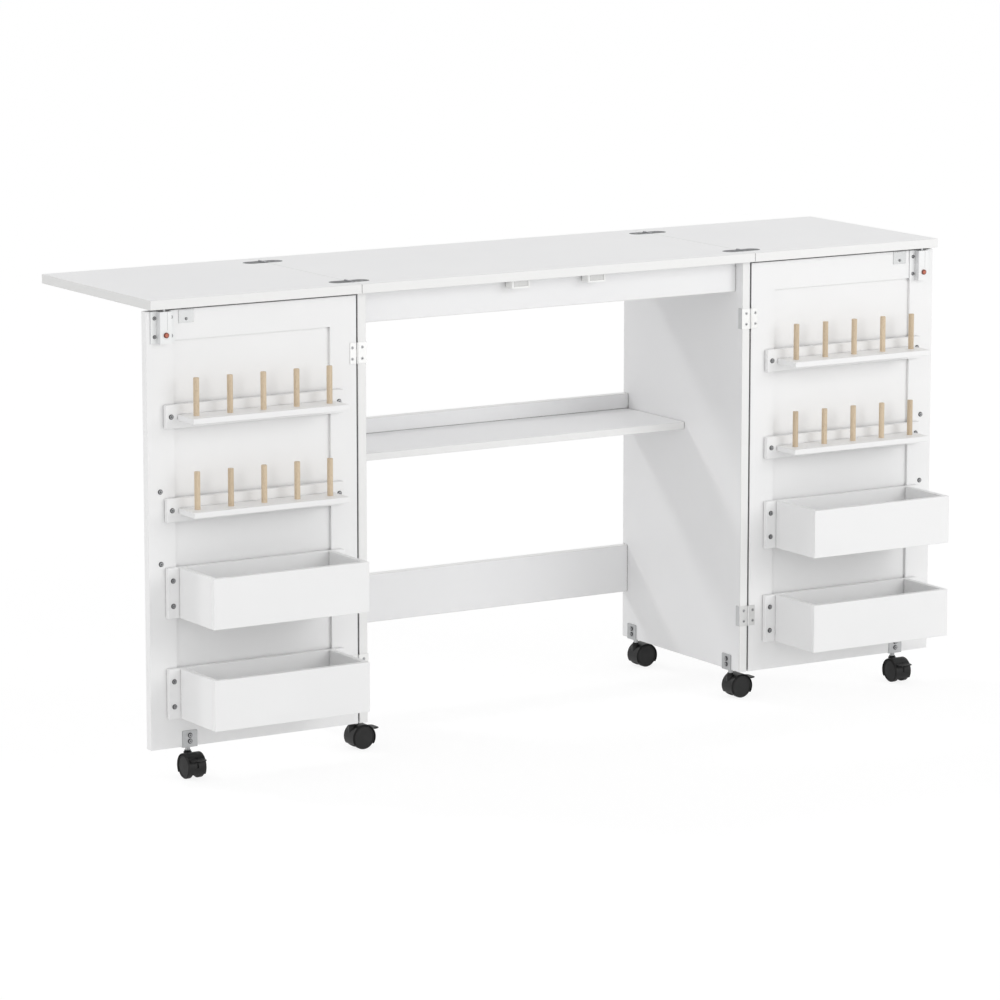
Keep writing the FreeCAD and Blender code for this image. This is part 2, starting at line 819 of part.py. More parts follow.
def make_flap_hinges(screws):
    """The seam is each piece's origin, at the height of the top's face; the pivot lies just above it."""
    third = "(flap_hinge_width / 3)"
    clear = "(flap_knuckle_radius + flap_knuckle_clear)"
    span = "flap_hinge_width - 2 * flap_knuckle_clear"

    fixed = new_body("fixed_flap_plate")
    half_stadium(fixed, -1)
    knuckle = sketch_on(fixed, "XZ")
    circle(knuckle, 0, "flap_pivot_rise", "flap_knuckle_radius")
    pad(fixed, knuckle, span, both_ways=True)
    window = sketch_on(fixed, "XY")
    reach = third + " / 2 + end_play"
    rectangle(window, "0 - " + clear, "0 - (%s)" % reach, clear, reach)
    pocket(fixed, window, "4 * " + clear, both_ways=True)
    flap_bore(fixed)
    flap_screw_holes(fixed, -1)

    moving = new_body("moving_flap_plate")
    half_stadium(moving, 1)
    for side in (1, -1):
        window = sketch_on(moving, "XY")
        start = "%d * %s / 2" % (side, third)
        rectangle(window, "0 - " + clear, start, clear, "%d * flap_hinge_width" % side)
        pocket(moving, window, "4 * " + clear, both_ways=True)
    knuckle = sketch_on(moving, "XZ")
    circle(knuckle, 0, "flap_pivot_rise", "flap_knuckle_radius")
    pad(moving, knuckle, third, both_ways=True)
    flap_bore(moving)
    flap_screw_holes(moving, 1)

    pin = new_body("flap_pin")
    sketch = sketch_on(pin, "XZ")
    circle(sketch, 0, "flap_pivot_rise", "flap_pin_radius")
    pad(pin, sketch, span, both_ways=True)

    still = []
    moved = []
    seat = "table_height - flap_plate"
    for y in ("flap_front", "flap_rear"):
        still += [copy_of(piece, "seam", y, "table_height") for piece in (fixed, pin)]
        moved.append(copy_of(moving, "seam", y, "table_height"))
        for x, across in flap_screw_places(1):
            moved.append(copy_of(screws["flap"], "seam + " + x, y + " + " + across, seat))
    right = group("right_flap_fixed", still)
    node(group("fixed_flap_plates", [right, mirrored(right)]), "centre_flap_plates")
    both_sides(group("moving_flap_plates", moved), "flap_plates")


# --- latches --------------------------------------------------------------------------------------


def make_latches():
    """A spring bolt in a box on the door; its red button lets a drawn bolt go."""
    box = new_body("latch_box")
    base = sketch_on(box, "XZ")
    rectangle(base, "0 - latch_width / 2", 0, "latch_width / 2", "latch_height")
    pad(box, base, "latch_base")
    raised = sketch_on(box, "XZ")
    rectangle(raised, "0 - latch_box_width / 2", 0, "latch_box_width / 2", "latch_height")
    solid = pad(box, raised, "latch_projection")
    outer = along("z", lambda middle: middle.y < -value("latch_base") - 1)
    round_edges(box, solid, "latch_corner", outer)
    holes = sketch_on(box, "XZ")
    for x, z in latch_screw_places():
        circle(holes, x, z, "small_screw_radius + running_play")
    pocket(box, holes, "4 * latch_base", both_ways=True)
    channel = sketch_on(box, "XY", "latch_height")
    circle(channel, 0, "0 - bolt_axis", "bolt_radius + running_play")
    pocket(box, channel, "latch_height - bolt_tail + bolt_tip_gap")
    well = sketch_on(box, "XZ", "latch_projection")
    circle(well, 0, "button_rise", "button_radius + running_play")
    pocket(box, well, "button_hole_depth")
    put(box, "latch_x", "front", "latch_bottom")
    both_sides(box, "latch_housing")

    bolt = new_body("bolt")
    sketch = sketch_on(bolt, "XY")
    circle(sketch, 0, 0, "bolt_radius")
    ease_edges(bolt, pad(bolt, sketch, "bolt_length"), "bolt_edge")
    put(bolt, "latch_x", "bolt_y", "underside - bolt_tip_gap - bolt_length")
    both_sides(bolt, "latch_bolt")

    button = new_body("button")
    sketch = sketch_on(button, "XY")
    circle(sketch, 0, 0, "button_radius")
    ease_edges(button, pad(button, sketch, "button_length"), "button_edge")
    put(button, "latch_x", "front - latch_projection - button_proud + button_length",
        "latch_bottom + button_rise", "x", 90)
    both_sides(button, "latch_button")


def latch_screw_places():
    inset = "latch_screw_reach"
    spots = []
    for x in ("0 - " + inset, inset):
        for z in ("latch_screw_low", "latch_height - latch_screw_low"):
            spots.append((x, z))
    return spots


# --- magnetic catches -----------------------------------------------------------------------------


def make_catches():
    """A shallow box with two ears under the top; its magnet meets the steel plate on the closed door."""
    shell = new_body("catch_shell")
    ears = sketch_on(shell, "XY")
    rectangle(ears, "0 - catch_ear_span / 2", "catch_ear_front", "catch_ear_span / 2",
              "catch_ear_front + catch_ear_depth")
    pad(shell, ears, "catch_wall", other_way=True)
    block = sketch_on(shell, "XY")
    rectangle(block, "0 - catch_width / 2", 0, "catch_width / 2", "catch_depth")
    pad(shell, block, "catch_height", other_way=True)
    mouth = sketch_on(shell, "XZ")
    rectangle(mouth, "catch_wall - catch_width / 2", "catch_wall - catch_height",
              "catch_width / 2 - catch_wall", "0 - catch_wall")
    pocket(shell, mouth, "catch_depth - catch_wall")
    holes = sketch_on(shell, "XY")
    for x in ("0 - catch_screw_span / 2", "catch_screw_span / 2"):
        circle(holes, x, "catch_ear_front + catch_ear_depth / 2", "small_screw_radius + running_play")
    pocket(shell, holes, "catch_wall")

    magnet = new_body("magnet")
    long_way = "catch_width / 2 - catch_wall"
    bar = sketch_on(magnet, "XY", "pole_sheet - magnet_height / 2")
    rectangle(bar, "0 - (%s)" % long_way, "magnet_recess + pole_proud", long_way, "catch_depth - catch_wall")
    pad(magnet, bar, "magnet_height - 2 * pole_sheet")
    pole = new_body("pole_plate")
    sheet = sketch_on(pole, "XY")
    rectangle(sheet, "0 - (%s)" % long_way, "magnet_recess", long_way, "catch_depth - catch_wall")
    pad(pole, sheet, "pole_sheet")
    centre = "underside - catch_height / 2"
    shells = []
    magnets = []
    for x in ("catch_x", "0 - catch_x"):
        shells.append(copy_of(shell, x, "catch_front", "underside"))
        magnets.append(copy_of(magnet, x, "catch_front", centre))
        magnets.append(copy_of(pole, x, "catch_front", centre + " + magnet_height / 2 - pole_sheet"))
        magnets.append(copy_of(pole, x, "catch_front", centre + " - magnet_height / 2"))
    node(group("catch_shells", shells), "catch_housings")
    node(group("magnets", magnets), "catch_magnets")

    plate = new_body("strike_plate")
    sketch = sketch_on(plate, "XZ")
    rectangle(sketch, "0 - plate_width / 2", "0 - plate_height", "plate_width / 2", 0)
    pad(plate, sketch, "plate_sheet")
    hole = sketch_on(plate, "XZ")
    circle(hole, 0, "plate_screw - plate_height", "small_screw_radius + running_play")
    pocket(plate, hole, "2 * plate_sheet", both_ways=True)
    put(plate, "hinge_line + catch_reach", "front", "door_top - plate_drop")
    both_sides(plate, "catch_plate")


# --- casters --------------------------------------------------------------------------------------


def make_bracket():
    """A bent steel angle, its origin on the stem's axis at the board's lower edge; the leg lies at -X."""
    bracket = new_body("bracket")
    board_face = "(0 - board_thickness / 2)"
    section = sketch_on(bracket, "XZ")
    outline(section, [
        (board_face + " - bracket_sheet", "0 - bracket_sheet"),
        ("board_thickness / 2", "0 - bracket_sheet"),
        ("board_thickness / 2", 0),
        (board_face, 0),
        (board_face, "bracket_leg - bracket_sheet"),
        (board_face + " - bracket_sheet", "bracket_leg - bracket_sheet"),
    ])
    bent = pad(bracket, section, "bracket_width", both_ways=True)
    top = along("x", lambda middle: middle.z > value("bracket_sheet"))
    round_edges(bracket, bent, "bracket_corner", top)
    holes = sketch_on(bracket, "YZ", board_face)
    for z in bracket_screw_heights():
        circle(holes, 0, z, "screw_radius + running_play")
    pocket(bracket, holes, "2 * bracket_sheet", both_ways=True)
    eye = sketch_on(bracket, "XY")
    circle(eye, 0, 0, "stem_neck_radius + running_play")
    pocket(bracket, eye, "bracket_sheet")

    stem = new_body("stem")
    profile = sketch_on(stem, "XZ")
    low = "collar_top - stem_depth - floor_clearance"
    outline(profile, [
        (0, low),
        ("stem_radius - stem_edge", low),
        ("stem_radius", low + " + stem_edge"),
        ("stem_radius", "0 - bracket_sheet"),
        ("stem_neck_radius", "0 - bracket_sheet"),
        ("stem_neck_radius", 0),
        (0, 0),
    ])
    revolve(stem, profile)
    return group("bracket_with_stem", [bracket, stem])


def bracket_screw_heights():
    low = "bracket_screw_low - bracket_sheet"
    return (low, low + " + bracket_screw_spacing")


def wheel_pair():
    """Two wheels on one axle, which ends behind their slightly domed covers."""
    wheel = new_body("wheel")
    profile = sketch_on(wheel, "XY")
    side = "wheel_width"
    dish = "wheel_width - wheel_dish"
    outline(profile, [
        ("axle_radius", 0),
        ("wheel_radius - tread_edge", 0),
        ("wheel_radius", "tread_edge"),
        ("wheel_radius", side + " - 2 * tread_edge"),
        ("wheel_radius - 2 * tread_edge", side),
        ("wheel_radius - wheel_rim", side),
        ("wheel_radius - wheel_rim", dish),
        (0, dish + " + wheel_crown"),
        (0, side + " - wheel_cap"),
        ("axle_radius", side + " - wheel_cap"),
    ])
    revolve(wheel, profile)
    axle = new_body("axle")
    sketch = sketch_on(axle, "XZ")
    circle(sketch, 0, 0, "axle_radius")
    ease_edges(axle, pad(axle, sketch, "caster_width - 2 * wheel_cap", both_ways=True), "axle_edge")
    offset = "hood_web / 2 + wheel_play"
    near = copy_of(wheel, "caster_trail", "0 - (%s)" % offset, "axle_rise", "z", 180)
    far = copy_of(wheel, "caster_trail", offset, "axle_rise")
    return group("wheel_pair", [near, far, copy_of(axle, "caster_trail", 0, "axle_rise")])


def hood(name, braked):
    """A moulded hood over both wheels, with a web between them that holds the stem and the axle."""
    body = new_body(name)
    barrel = sketch_on(body, "XZ")
    circle(barrel, "caster_trail", "axle_rise", "hood_radius")
    round_edges(body, pad(body, barrel, "caster_width", both_ways=True), "hood_edge", is_rim)
    boss = sketch_on(body, "XY", "axle_rise")
    circle(boss, 0, 0, "boss_radius")
    pad(body, boss, "hood_radius - boss_drop")
    collar = sketch_on(body, "XY", "axle_rise")
    circle(collar, 0, 0, "stem_radius + running_play + collar_wall")
    pad(body, collar, "collar_top - axle_rise")
    wells = sketch_on(body, "XZ")
    circle(wells, "caster_trail", "axle_rise", "wheel_radius + wheel_play")
    pocket(body, wells, "2 * caster_width", both_ways=True)
    web = sketch_on(body, "XZ")
    circle(web, "caster_trail", "axle_rise", "hood_radius")
    pad(body, web, "hood_web", both_ways=True)
    skirt = sketch_on(body, "XZ")
    rectangle(skirt, "0 - caster_width", "0 - caster_width", "2 * caster_width", "hood_skirt")
    pocket(body, skirt, "2 * caster_width", both_ways=True)
    socket = sketch_on(body, "XY", "collar_top")
    circle(socket, 0, 0, "stem_radius + running_play")
    pocket(body, socket, "stem_depth + end_play")
    bearing = sketch_on(body, "XZ")
    circle(bearing, "caster_trail", "axle_rise", "axle_radius + running_play")
    pocket(body, bearing, "2 * caster_width", both_ways=True)
    if braked:
        lever_openings(body)
    return body


def is_rim(edge):
    return edge.Curve.TypeId == "Part::GeomCircle"


def lever_openings(body):
    """The mouth that the lever's arm swings in, with its cross pin, and the upright slot under it."""
    mouth = sketch_on(body, "XZ")
    room = "(lever_eye_radius + lever_clear)"
    rectangle(mouth, "lever_x - " + room, "lever_z - lever_swing_room",
              "lever_end + hood_radius", "lever_z + " + room)
    pocket(body, mouth, "lever_arm_width + 2 * end_play", both_ways=True)
    pin = sketch_on(body, "XZ")
    circle(pin, "lever_x", "lever_z", "lever_pin_radius")
    pad(body, pin, "hood_web", both_ways=True)
    slot = sketch_on(body, "YZ", "caster_trail + hood_radius")
    rise = "axle_rise + brake_slot_rise"
    rectangle(slot, "0 - brake_slot_width / 2", rise + " - brake_slot_height / 2",
              "brake_slot_width / 2", rise + " + brake_slot_height / 2")
    pocket(body, slot, "brake_slot_depth")


def brake_lever():
    """A foot lever: an eye on the hood's cross pin, a narrow arm and a wide tread that thins to its tip."""
    lever = new_body("lever")
    under = "lever_z - lever_drop"
    tip = under + " + lever_tip_lift"
    tread = sketch_on(lever, "XZ")
    outline(tread, [
        ("lever_x + lever_upper_start", under + " + lever_root"),
        ("lever_x + lever_lower_start", under),
        ("lever_end", tip),
        ("lever_end", tip + " + lever_tip"),
    ])
    wedge = pad(lever, tread, "lever_width", both_ways=True)
    at_tip = along("z", lambda middle: middle.x > value("lever_end") - 1)
    round_edges(lever, wedge, "lever_corner", at_tip)
    arm = sketch_on(lever, "XZ")
    rectangle(arm, "lever_x", under, "lever_x + lever_lower_start + 1", under + " + lever_root")
    pad(lever, arm, "lever_arm_width", both_ways=True)
    eye = sketch_on(lever, "XZ")
    circle(eye, "lever_x", "lever_z", "lever_eye_radius")
    pad(lever, eye, "lever_arm_width", both_ways=True)
    bore = sketch_on(lever, "XZ")
    circle(bore, "lever_x", "lever_z", "lever_pin_radius + running_play")
    pocket(lever, bore, "2 * lever_arm_width", both_ways=True)
    return lever


def caster_places():
    """Name, stem's x and y, turn about the stem, and whether it has a brake."""
    front_line = "front + panel_caster_front"
    rear_line = "rear - panel_caster_rear"
    return [
        ("left_front", "0 - panel_caster_x", front_line, 0, True),
        ("right_front", "panel_caster_x", front_line, 0, True),
        ("left_rear", "0 - panel_caster_x", rear_line, 0, False),
        ("right_rear", "panel_caster_x", rear_line, 0, False),
        ("left_door", "0 - door_caster_x", "stem_y", -90, True),
        ("right_door", "door_caster_x", "stem_y", -90, True),
    ]


def make_casters():
    hoods = {True: hood("braked_hood", True), False: hood("plain_hood", False)}
    wheels = wheel_pair()
    lever = brake_lever()
    for name, x, y, turn, braked in caster_places():
        node(copy_of(hoods[braked], x, y, 0, "z", turn), name + "_caster_hood")
        node(copy_of(wheels, x, y, 0, "z", turn), name + "_caster_wheels")
        if braked:
            node(copy_of(lever, x, y, 0, "z", turn), name + "_brake_lever")


def make_brackets(bracket):
    """The leg lies on each panel's inner face, and on the door's inner face."""
    panel_brackets = []
    for y in ("front + panel_caster_front", "rear - panel_caster_rear"):
        panel_brackets.append(copy_of(bracket, "panel_caster_x", y, "floor_clearance"))
        panel_brackets.append(copy_of(bracket, "0 - panel_caster_x", y, "floor_clearance", "z", 180))
    node(group("panel_brackets", panel_brackets), "panel_caster_brackets")
    both_sides(copy_of(bracket, "door_caster_x", "stem_y", "floor_clearance", "z", 90), "caster_bracket")


# --- screws ---------------------------------------------------------------------------------------


def screw(name, head_radius, head_height, shank_radius, shank_length, flush=False):
    """A plain screw: its origin lies under the head, on the surface that the head rests on; +Z is outward."""
    body = new_body(name)
    profile = sketch_on(body, "XZ")
    shank = [(0, "0 - (%s)" % shank_length), (shank_radius, "0 - (%s)" % shank_length)]
    domed_head = [
        (shank_radius, 0),
        (head_radius, 0),
        (head_radius, "%s * (1 - screw_dome)" % head_height),
        ("%s * screw_dome" % head_radius, head_height),
        (0, head_height),
    ]
    flush_head = [
        (shank_radius, 0),
        (head_radius, "%s * screw_dome" % head_height),
        (head_radius, head_height),
        (0, head_height),
    ]
    outline(profile, shank + (flush_head if flush else domed_head))
    revolve(body, profile)
    return body


def make_screw_kinds():
    large_head = ("screw_head_radius", "screw_head_height", "screw_radius")
    small_shank = ("small_screw_radius", "small_screw_length")
    return {
        "wood": screw("wood_screw", *large_head, "screw_length"),
        "machine": screw("machine_screw", *large_head, "board_thickness + pull_screw_depth"),
        "small": screw("small_screw", "small_head_radius", "small_head_height", *small_shank),
        "latch": screw("latch_screw", "latch_head_radius", "small_head_height", *small_shank),
        "hinge": screw("hinge_screw", "small_head_radius", "hinge_sheet", *small_shank, flush=True),
        "flap": screw("flap_screw", "small_head_radius", "flap_plate", *small_shank, flush=True),
    }


def facing_front(item, x, y, z):
    return copy_of(item, x, y, z, "x", 90)


def make_door_screws(screws):
    door = []
    for x in ("door_centre - back_screw", "door_centre + back_screw"):
        for z in ("upper_rack", "lower_rack"):
            door.append(facing_front(screws["wood"], x, "front - rack_board", z))
        for z in ("upper_bin", "lower_bin"):
            for rise in (" - bin_screw_spacing / 2", " + bin_screw_spacing / 2"):
                door.append(facing_front(screws["wood"], x, "front - rack_board", z + rise))
    for z in bracket_screw_heights():
        z = "floor_clearance + " + z
        door.append(facing_front(screws["wood"], "door_caster_x", "front - bracket_sheet", z))
    for x, z in latch_screw_places():
        x = "latch_x + " + x
        door.append(facing_front(screws["latch"], x, "front - latch_base", "latch_bottom + " + z))
    for rise in ("0 - pull_spacing / 2", "pull_spacing / 2"):
        door.append(facing_front(screws["machine"], "pull_x", "front", "pull_height + " + rise))
    x = "hinge_line + catch_reach"
    z = "door_top - plate_drop - plate_height + plate_screw"
    door.append(facing_front(screws["small"], x, "front - plate_sheet", z))
    for level in ("upper_hinge", "lower_hinge"):
        for rise in ("0 - hinge_screw_spacing / 2", "hinge_screw_spacing / 2"):
            x = "door_inner_end + hinge_screw_inset"
            door.append(facing_front(screws["hinge"], x, "front", "%s + %s" % (level, rise)))
    both_sides(group("door_fixings", door), "door_screws")


def make_carcass_screws(screws):
    right = []
    for level in ("upper_hinge", "lower_hinge"):
        for rise in ("0 - hinge_screw_spacing / 2", "hinge_screw_spacing / 2"):
            x = "side_outer - hinge_screw_inset"
            right.append(facing_front(screws["hinge"], x, "front", "%s + %s" % (level, rise)))
    for y in ("front + panel_caster_front", "rear - panel_caster_rear"):
        for z in bracket_screw_heights():
            leg = "side_inner - bracket_sheet"
            right.append(copy_of(screws["wood"], leg, y, "floor_clearance + " + z, "y", -90))
    for y in ("flap_front", "flap_rear"):
        for x, across in flap_screw_places(-1):
            y_place = y + " + " + across
            right.append(copy_of(screws["flap"], "seam + " + x, y_place, "table_height - flap_plate"))
    for x in ("catch_x - catch_screw_span / 2", "catch_x + catch_screw_span / 2"):
        depth = "catch_front + catch_ear_front + catch_ear_depth / 2"
        right.append(copy_of(screws["small"], x, depth, "underside - catch_wall", "x", 180))
    half = group("right_carcass_fixings", right)
    node(group("carcass_fixings", [half, mirrored(half)]), "carcass_screws")


# --- build, check and write -----------------------------------------------------------------------


def check_document():
    """Stops if any object failed, if a cut removed nothing, or if a piece is empty or broken."""
    for item in doc.Objects:
        if "Invalid" in item.State or "Error" in item.State:
            raise RuntimeError("%s (%s) failed" % (item.Name, item.Label))
        if item.TypeId == "PartDesign::Pocket":
            removed = item.BaseFeature.Shape.Volume - item.Shape.Volume
            if removed < 0.01:
                raise RuntimeError("%s cuts nothing" % item.Name)
    for item in nodes:
        shape = item.Shape
        if shape.isNull() or not shape.isValid() or not shape.Solids:
            raise RuntimeError("%s has no sound shape" % item.Label)


def write_nodes():
    os.makedirs("parts", exist_ok=True)
    for item in nodes:
        item.Shape.exportStep("parts/%s.step" % item.Label)
        print("%-28s %3d solids %12.1f mm3" % (item.Label, len(item.Shape.Solids), item.Shape.Volume))


make_top()
make_carcass()
make_cam_locks()
make_door_frame()
make_spool_racks()
make_bins()
make_pull_handle()
make_door_hinges()
screw_kinds = make_screw_kinds()
make_flap_hinges(screw_kinds)
make_latches()
make_catches()
make_brackets(make_bracket())
make_casters()
make_door_screws(screw_kinds)
make_carcass_screws(screw_kinds)
doc.recompute()
check_document()
write_nodes()
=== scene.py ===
import math
import random

import bmesh
import bpy
from mathutils import Matrix, Vector


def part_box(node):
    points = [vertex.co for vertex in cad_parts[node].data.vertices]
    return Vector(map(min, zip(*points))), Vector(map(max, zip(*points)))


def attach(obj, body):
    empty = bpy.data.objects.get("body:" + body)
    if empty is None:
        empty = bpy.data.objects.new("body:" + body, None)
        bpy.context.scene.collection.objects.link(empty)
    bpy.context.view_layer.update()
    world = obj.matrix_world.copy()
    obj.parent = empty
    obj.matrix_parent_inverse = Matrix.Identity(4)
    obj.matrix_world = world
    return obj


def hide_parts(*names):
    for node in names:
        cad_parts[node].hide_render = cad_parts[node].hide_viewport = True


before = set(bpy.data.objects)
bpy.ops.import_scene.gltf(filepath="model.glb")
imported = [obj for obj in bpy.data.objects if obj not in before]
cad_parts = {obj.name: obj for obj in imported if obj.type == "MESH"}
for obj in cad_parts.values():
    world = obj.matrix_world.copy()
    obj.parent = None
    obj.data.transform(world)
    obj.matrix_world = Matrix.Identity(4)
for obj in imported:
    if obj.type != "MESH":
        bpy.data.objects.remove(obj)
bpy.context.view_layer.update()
random.seed(11)


# small tools

sharpOver = 35       # degrees; an edge of a made piece that turns more than this stays sharp
mergeDigits = 6      # decimals of a metre; corners that agree to these are one corner


def hexColour(code):
    # sRGB hex to the linear numbers that the shaders take
    channels = [int(code[k:k + 2], 16) / 255 for k in (1, 3, 5)]
    return [c / 12.92 if c <= 0.04045 else ((c + 0.055) / 1.055) ** 2.4 for c in channels] + [1.0]


def perMetre(millimetres):
    # texture scale at which one cell measures that many millimetres
    return 1000.0 / millimetres


def emptyTree(owner):
    # the node tree of a material or a world, with nothing in it
    owner.use_nodes = True
    owner.node_tree.nodes.clear()
    return owner.node_tree


def addNode(tree, kind, settings=None, links=None):
    # a number as a name means the socket's place; any other name is a socket or a node setting
    node = tree.nodes.new(kind)
    sockets = {socket.name: socket for socket in reversed(node.inputs)}
    for name, setting in (settings or {}).items():
        if isinstance(name, int):
            node.inputs[name].default_value = setting
        elif name in sockets:
            sockets[name].default_value = setting
        else:
            setattr(node, name, setting)
    for name, source in (links or {}).items():
        tree.links.new(source, node.inputs[name] if isinstance(name, int) else sockets[name])
    return node


def newMaterial(name):
    # a material with only its shader, wired to the output, and the node's own coordinates
    material = bpy.data.materials.new(name)
    tree = emptyTree(material)
    shader = addNode(tree, "ShaderNodeBsdfPrincipled")
    addNode(tree, "ShaderNodeOutputMaterial", links={"Surface": shader.outputs["BSDF"]})
    places = addNode(tree, "ShaderNodeTexCoord")
    return material, tree, shader, places


def facingAlong(tree, places, axis):
    # how squarely a surface faces along an axis of its node, either way, from 0 to 1
    facing = addNode(tree, "ShaderNodeSeparateXYZ", links={0: places.outputs["Normal"]})
    along = addNode(tree, "ShaderNodeMath", {"operation": "ABSOLUTE"}, {0: facing.outputs[axis]})
    return along.outputs[0]


# painted shade in narrow gaps and corners, set by how much open sky a point sees
creviceShadeLook = {
    "reach": 0.009,      # m, gaps narrower than this count
    "tone": "#4E4E4F",
    "deepest": 0.12,     # share of open sky at which the tone is full
    "shallowest": 0.44,  # share at which it starts
    "samples": 6,
}


def paintedCreviceShade(tree, colour):
    # painted shade: darkens the colour in the narrow gaps between boards, where shade falls, which
    # draws the fine dark joint lines
    opening = addNode(tree, "ShaderNodeAmbientOcclusion", {
        "samples": creviceShadeLook["samples"], "Distance": creviceShadeLook["reach"]})
    depth = addNode(tree, "ShaderNodeMapRange", {
        "From Min": creviceShadeLook["deepest"], "From Max": creviceShadeLook["shallowest"]}, {
        "Value": opening.outputs["AO"]})
    shaded = addNode(tree, "ShaderNodeMix", {
        "data_type": "RGBA", 6: hexColour(creviceShadeLook["tone"])}, {
        0: depth.outputs[0], 7: colour})
    return shaded.outputs[2]


def dress(node, material):
    # gives a carried-over node its finish
    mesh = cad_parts[node].data
    mesh.materials.clear()
    mesh.materials.append(material)


def makePiece(name, shape, materials, body, replaced):
    # turns a bmesh into a piece that rides on a body and stands for the replaced nodes
    bmesh.ops.recalc_face_normals(shape, faces=shape.faces)
    for edge in shape.edges:
        edge.smooth = len(edge.link_faces) == 2 and edge.calc_face_angle() < math.radians(sharpOver)
    for face in shape.faces:
        face.smooth = True
    mesh = bpy.data.meshes.new(name)
    shape.to_mesh(mesh)
    shape.free()
    for material in materials:
        mesh.materials.append(material)
    piece = bpy.data.objects.new(name, mesh)
    bpy.context.scene.collection.objects.link(piece)
    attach(piece, body)
    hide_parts(*replaced)
    return piece


def solidsOf(node):
    # the corner points of each separate solid in a node
    owner = {}

    def rootOf(key):
        while owner[key] != key:
            owner[key] = owner[owner[key]]
            key = owner[key]
        return key

    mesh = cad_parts[node].data
    keys = [tuple(round(c, mergeDigits) for c in vertex.co) for vertex in mesh.vertices]
    for key in keys:
        owner.setdefault(key, key)
    for edge in mesh.edges:
        first, second = (rootOf(keys[k]) for k in edge.vertices)
        owner[first] = second
    solids = {}
    for key in owner:
        solids.setdefault(rootOf(key), []).append(Vector(key))
    return [solids[key] for key in sorted(solids)]


# camera

cameraView = {
    "place": (-4.1151, -6.6374, 1.7532),
    "turn": 31.558,   # degrees from +Y towards +X
    "tilt": 10.116,   # degrees below the horizon
    "lens": 172.99,   # mm
    "sensor": 36,     # mm
    "farthest": 200,  # m
}


def makeCamera():
    data = bpy.data.cameras.new("camera")
    data.lens = cameraView["lens"]
    data.sensor_width = cameraView["sensor"]
    data.clip_end = cameraView["farthest"]
    camera = bpy.data.objects.new("camera", data)
    bpy.context.scene.collection.objects.link(camera)
    turn, tilt = math.radians(cameraView["turn"]), math.radians(cameraView["tilt"])
    level = math.cos(tilt)
    ahead = Vector((math.sin(turn) * level, math.cos(turn) * level, -math.sin(tilt)))
    camera.location = cameraView["place"]
    camera.rotation_euler = ahead.to_track_quat("-Z", "Y").to_euler()
    bpy.context.scene.camera = camera


makeCamera()
print("camera set")


# lights, floor and background

studio = {
    "keyPower": 102,                # W
    "keyFrom": (0.46, -0.84, 0.3),  # front and right, above
    "keyAway": 6.5,                 # m: near enough that the right end is a little brighter
    "keyAim": 0.4,                  # m above the floor
    "keySize": 3.7,                 # m across
    "sky": 0.602,                   # even light from all round
    "background": "#FFFFFF",
    "floor": "#F4F4F4",
    "floorSize": 160,               # m
    "floorPatches": 8,              # along each side
    "floorDrop": 0.0002,            # m under the wheels
    "floorLift": 0.78,              # share of the floor that is seen as plain background
    "floorGlow": 1.08,              # strength of that share
}

# origin is the side that a sun shines from, and softness is in degrees
suns = {
    "front_light": {"strength": 0.36, "origin": (-0.2, -0.98, 0.02), "softness": 72},
    "side_light": {"strength": 0.56, "origin": (-0.92, -0.25, 0.2), "softness": 72},
    # behind, left and high: it falls slanting across the panels
    "back_light": {"strength": 0.6, "origin": (-0.66, 1.0, 0.98), "softness": 8},
}


def addLight(name, kind, strength, origin):
    # a light that shines from the origin's direction onto the table
    data = bpy.data.lights.new(name, kind)
    data.energy = strength
    light = bpy.data.objects.new(name, data)
    bpy.context.scene.collection.objects.link(light)
    light.rotation_euler = Vector(origin).to_track_quat("Z", "Y").to_euler()
    return light


def makeLights():
    # one large round softbox, and three suns as soft fills
    away = Vector(studio["keyFrom"]).normalized()
    softbox = addLight("key_light", "AREA", studio["keyPower"], away)
    softbox.location = away * studio["keyAway"] + Vector((0, 0, studio["keyAim"]))
    softbox.data.shape = "DISK"
    softbox.data.size = studio["keySize"]
    for name, look in suns.items():
        sun = addLight(name, "SUN", look["strength"], look["origin"])
        sun.data.angle = math.radians(look["softness"])


def shownRays(tree):
    # 1 for rays that show a thing, straight, mirrored or through glass; 0 for rays that light it
    path = addNode(tree, "ShaderNodeLightPath")
    seen = addNode(tree, "ShaderNodeMath", {"operation": "MAXIMUM"}, {
        0: path.outputs["Is Camera Ray"], 1: path.outputs["Is Glossy Ray"]})
    seenThrough = addNode(tree, "ShaderNodeMath", {"operation": "MAXIMUM"}, {
        0: seen.outputs[0], 1: path.outputs["Is Transmission Ray"]})
    return seenThrough.outputs[0]


def makeWorld():
    world = bpy.data.worlds.new("studio")
    bpy.context.scene.world = world
    tree = emptyTree(world)
    white = hexColour(studio["background"])
    light = addNode(tree, "ShaderNodeBackground", {"Color": white, "Strength": studio["sky"]})
    shown = addNode(tree, "ShaderNodeBackground", {"Color": white, "Strength": 1.0})
    both = addNode(tree, "ShaderNodeMixShader", links={
        0: shownRays(tree), 1: light.outputs[0], 2: shown.outputs[0]})
    addNode(tree, "ShaderNodeOutputWorld", links={"Surface": both.outputs[0]})
    bpy.context.scene.view_settings.view_transform = "Standard"


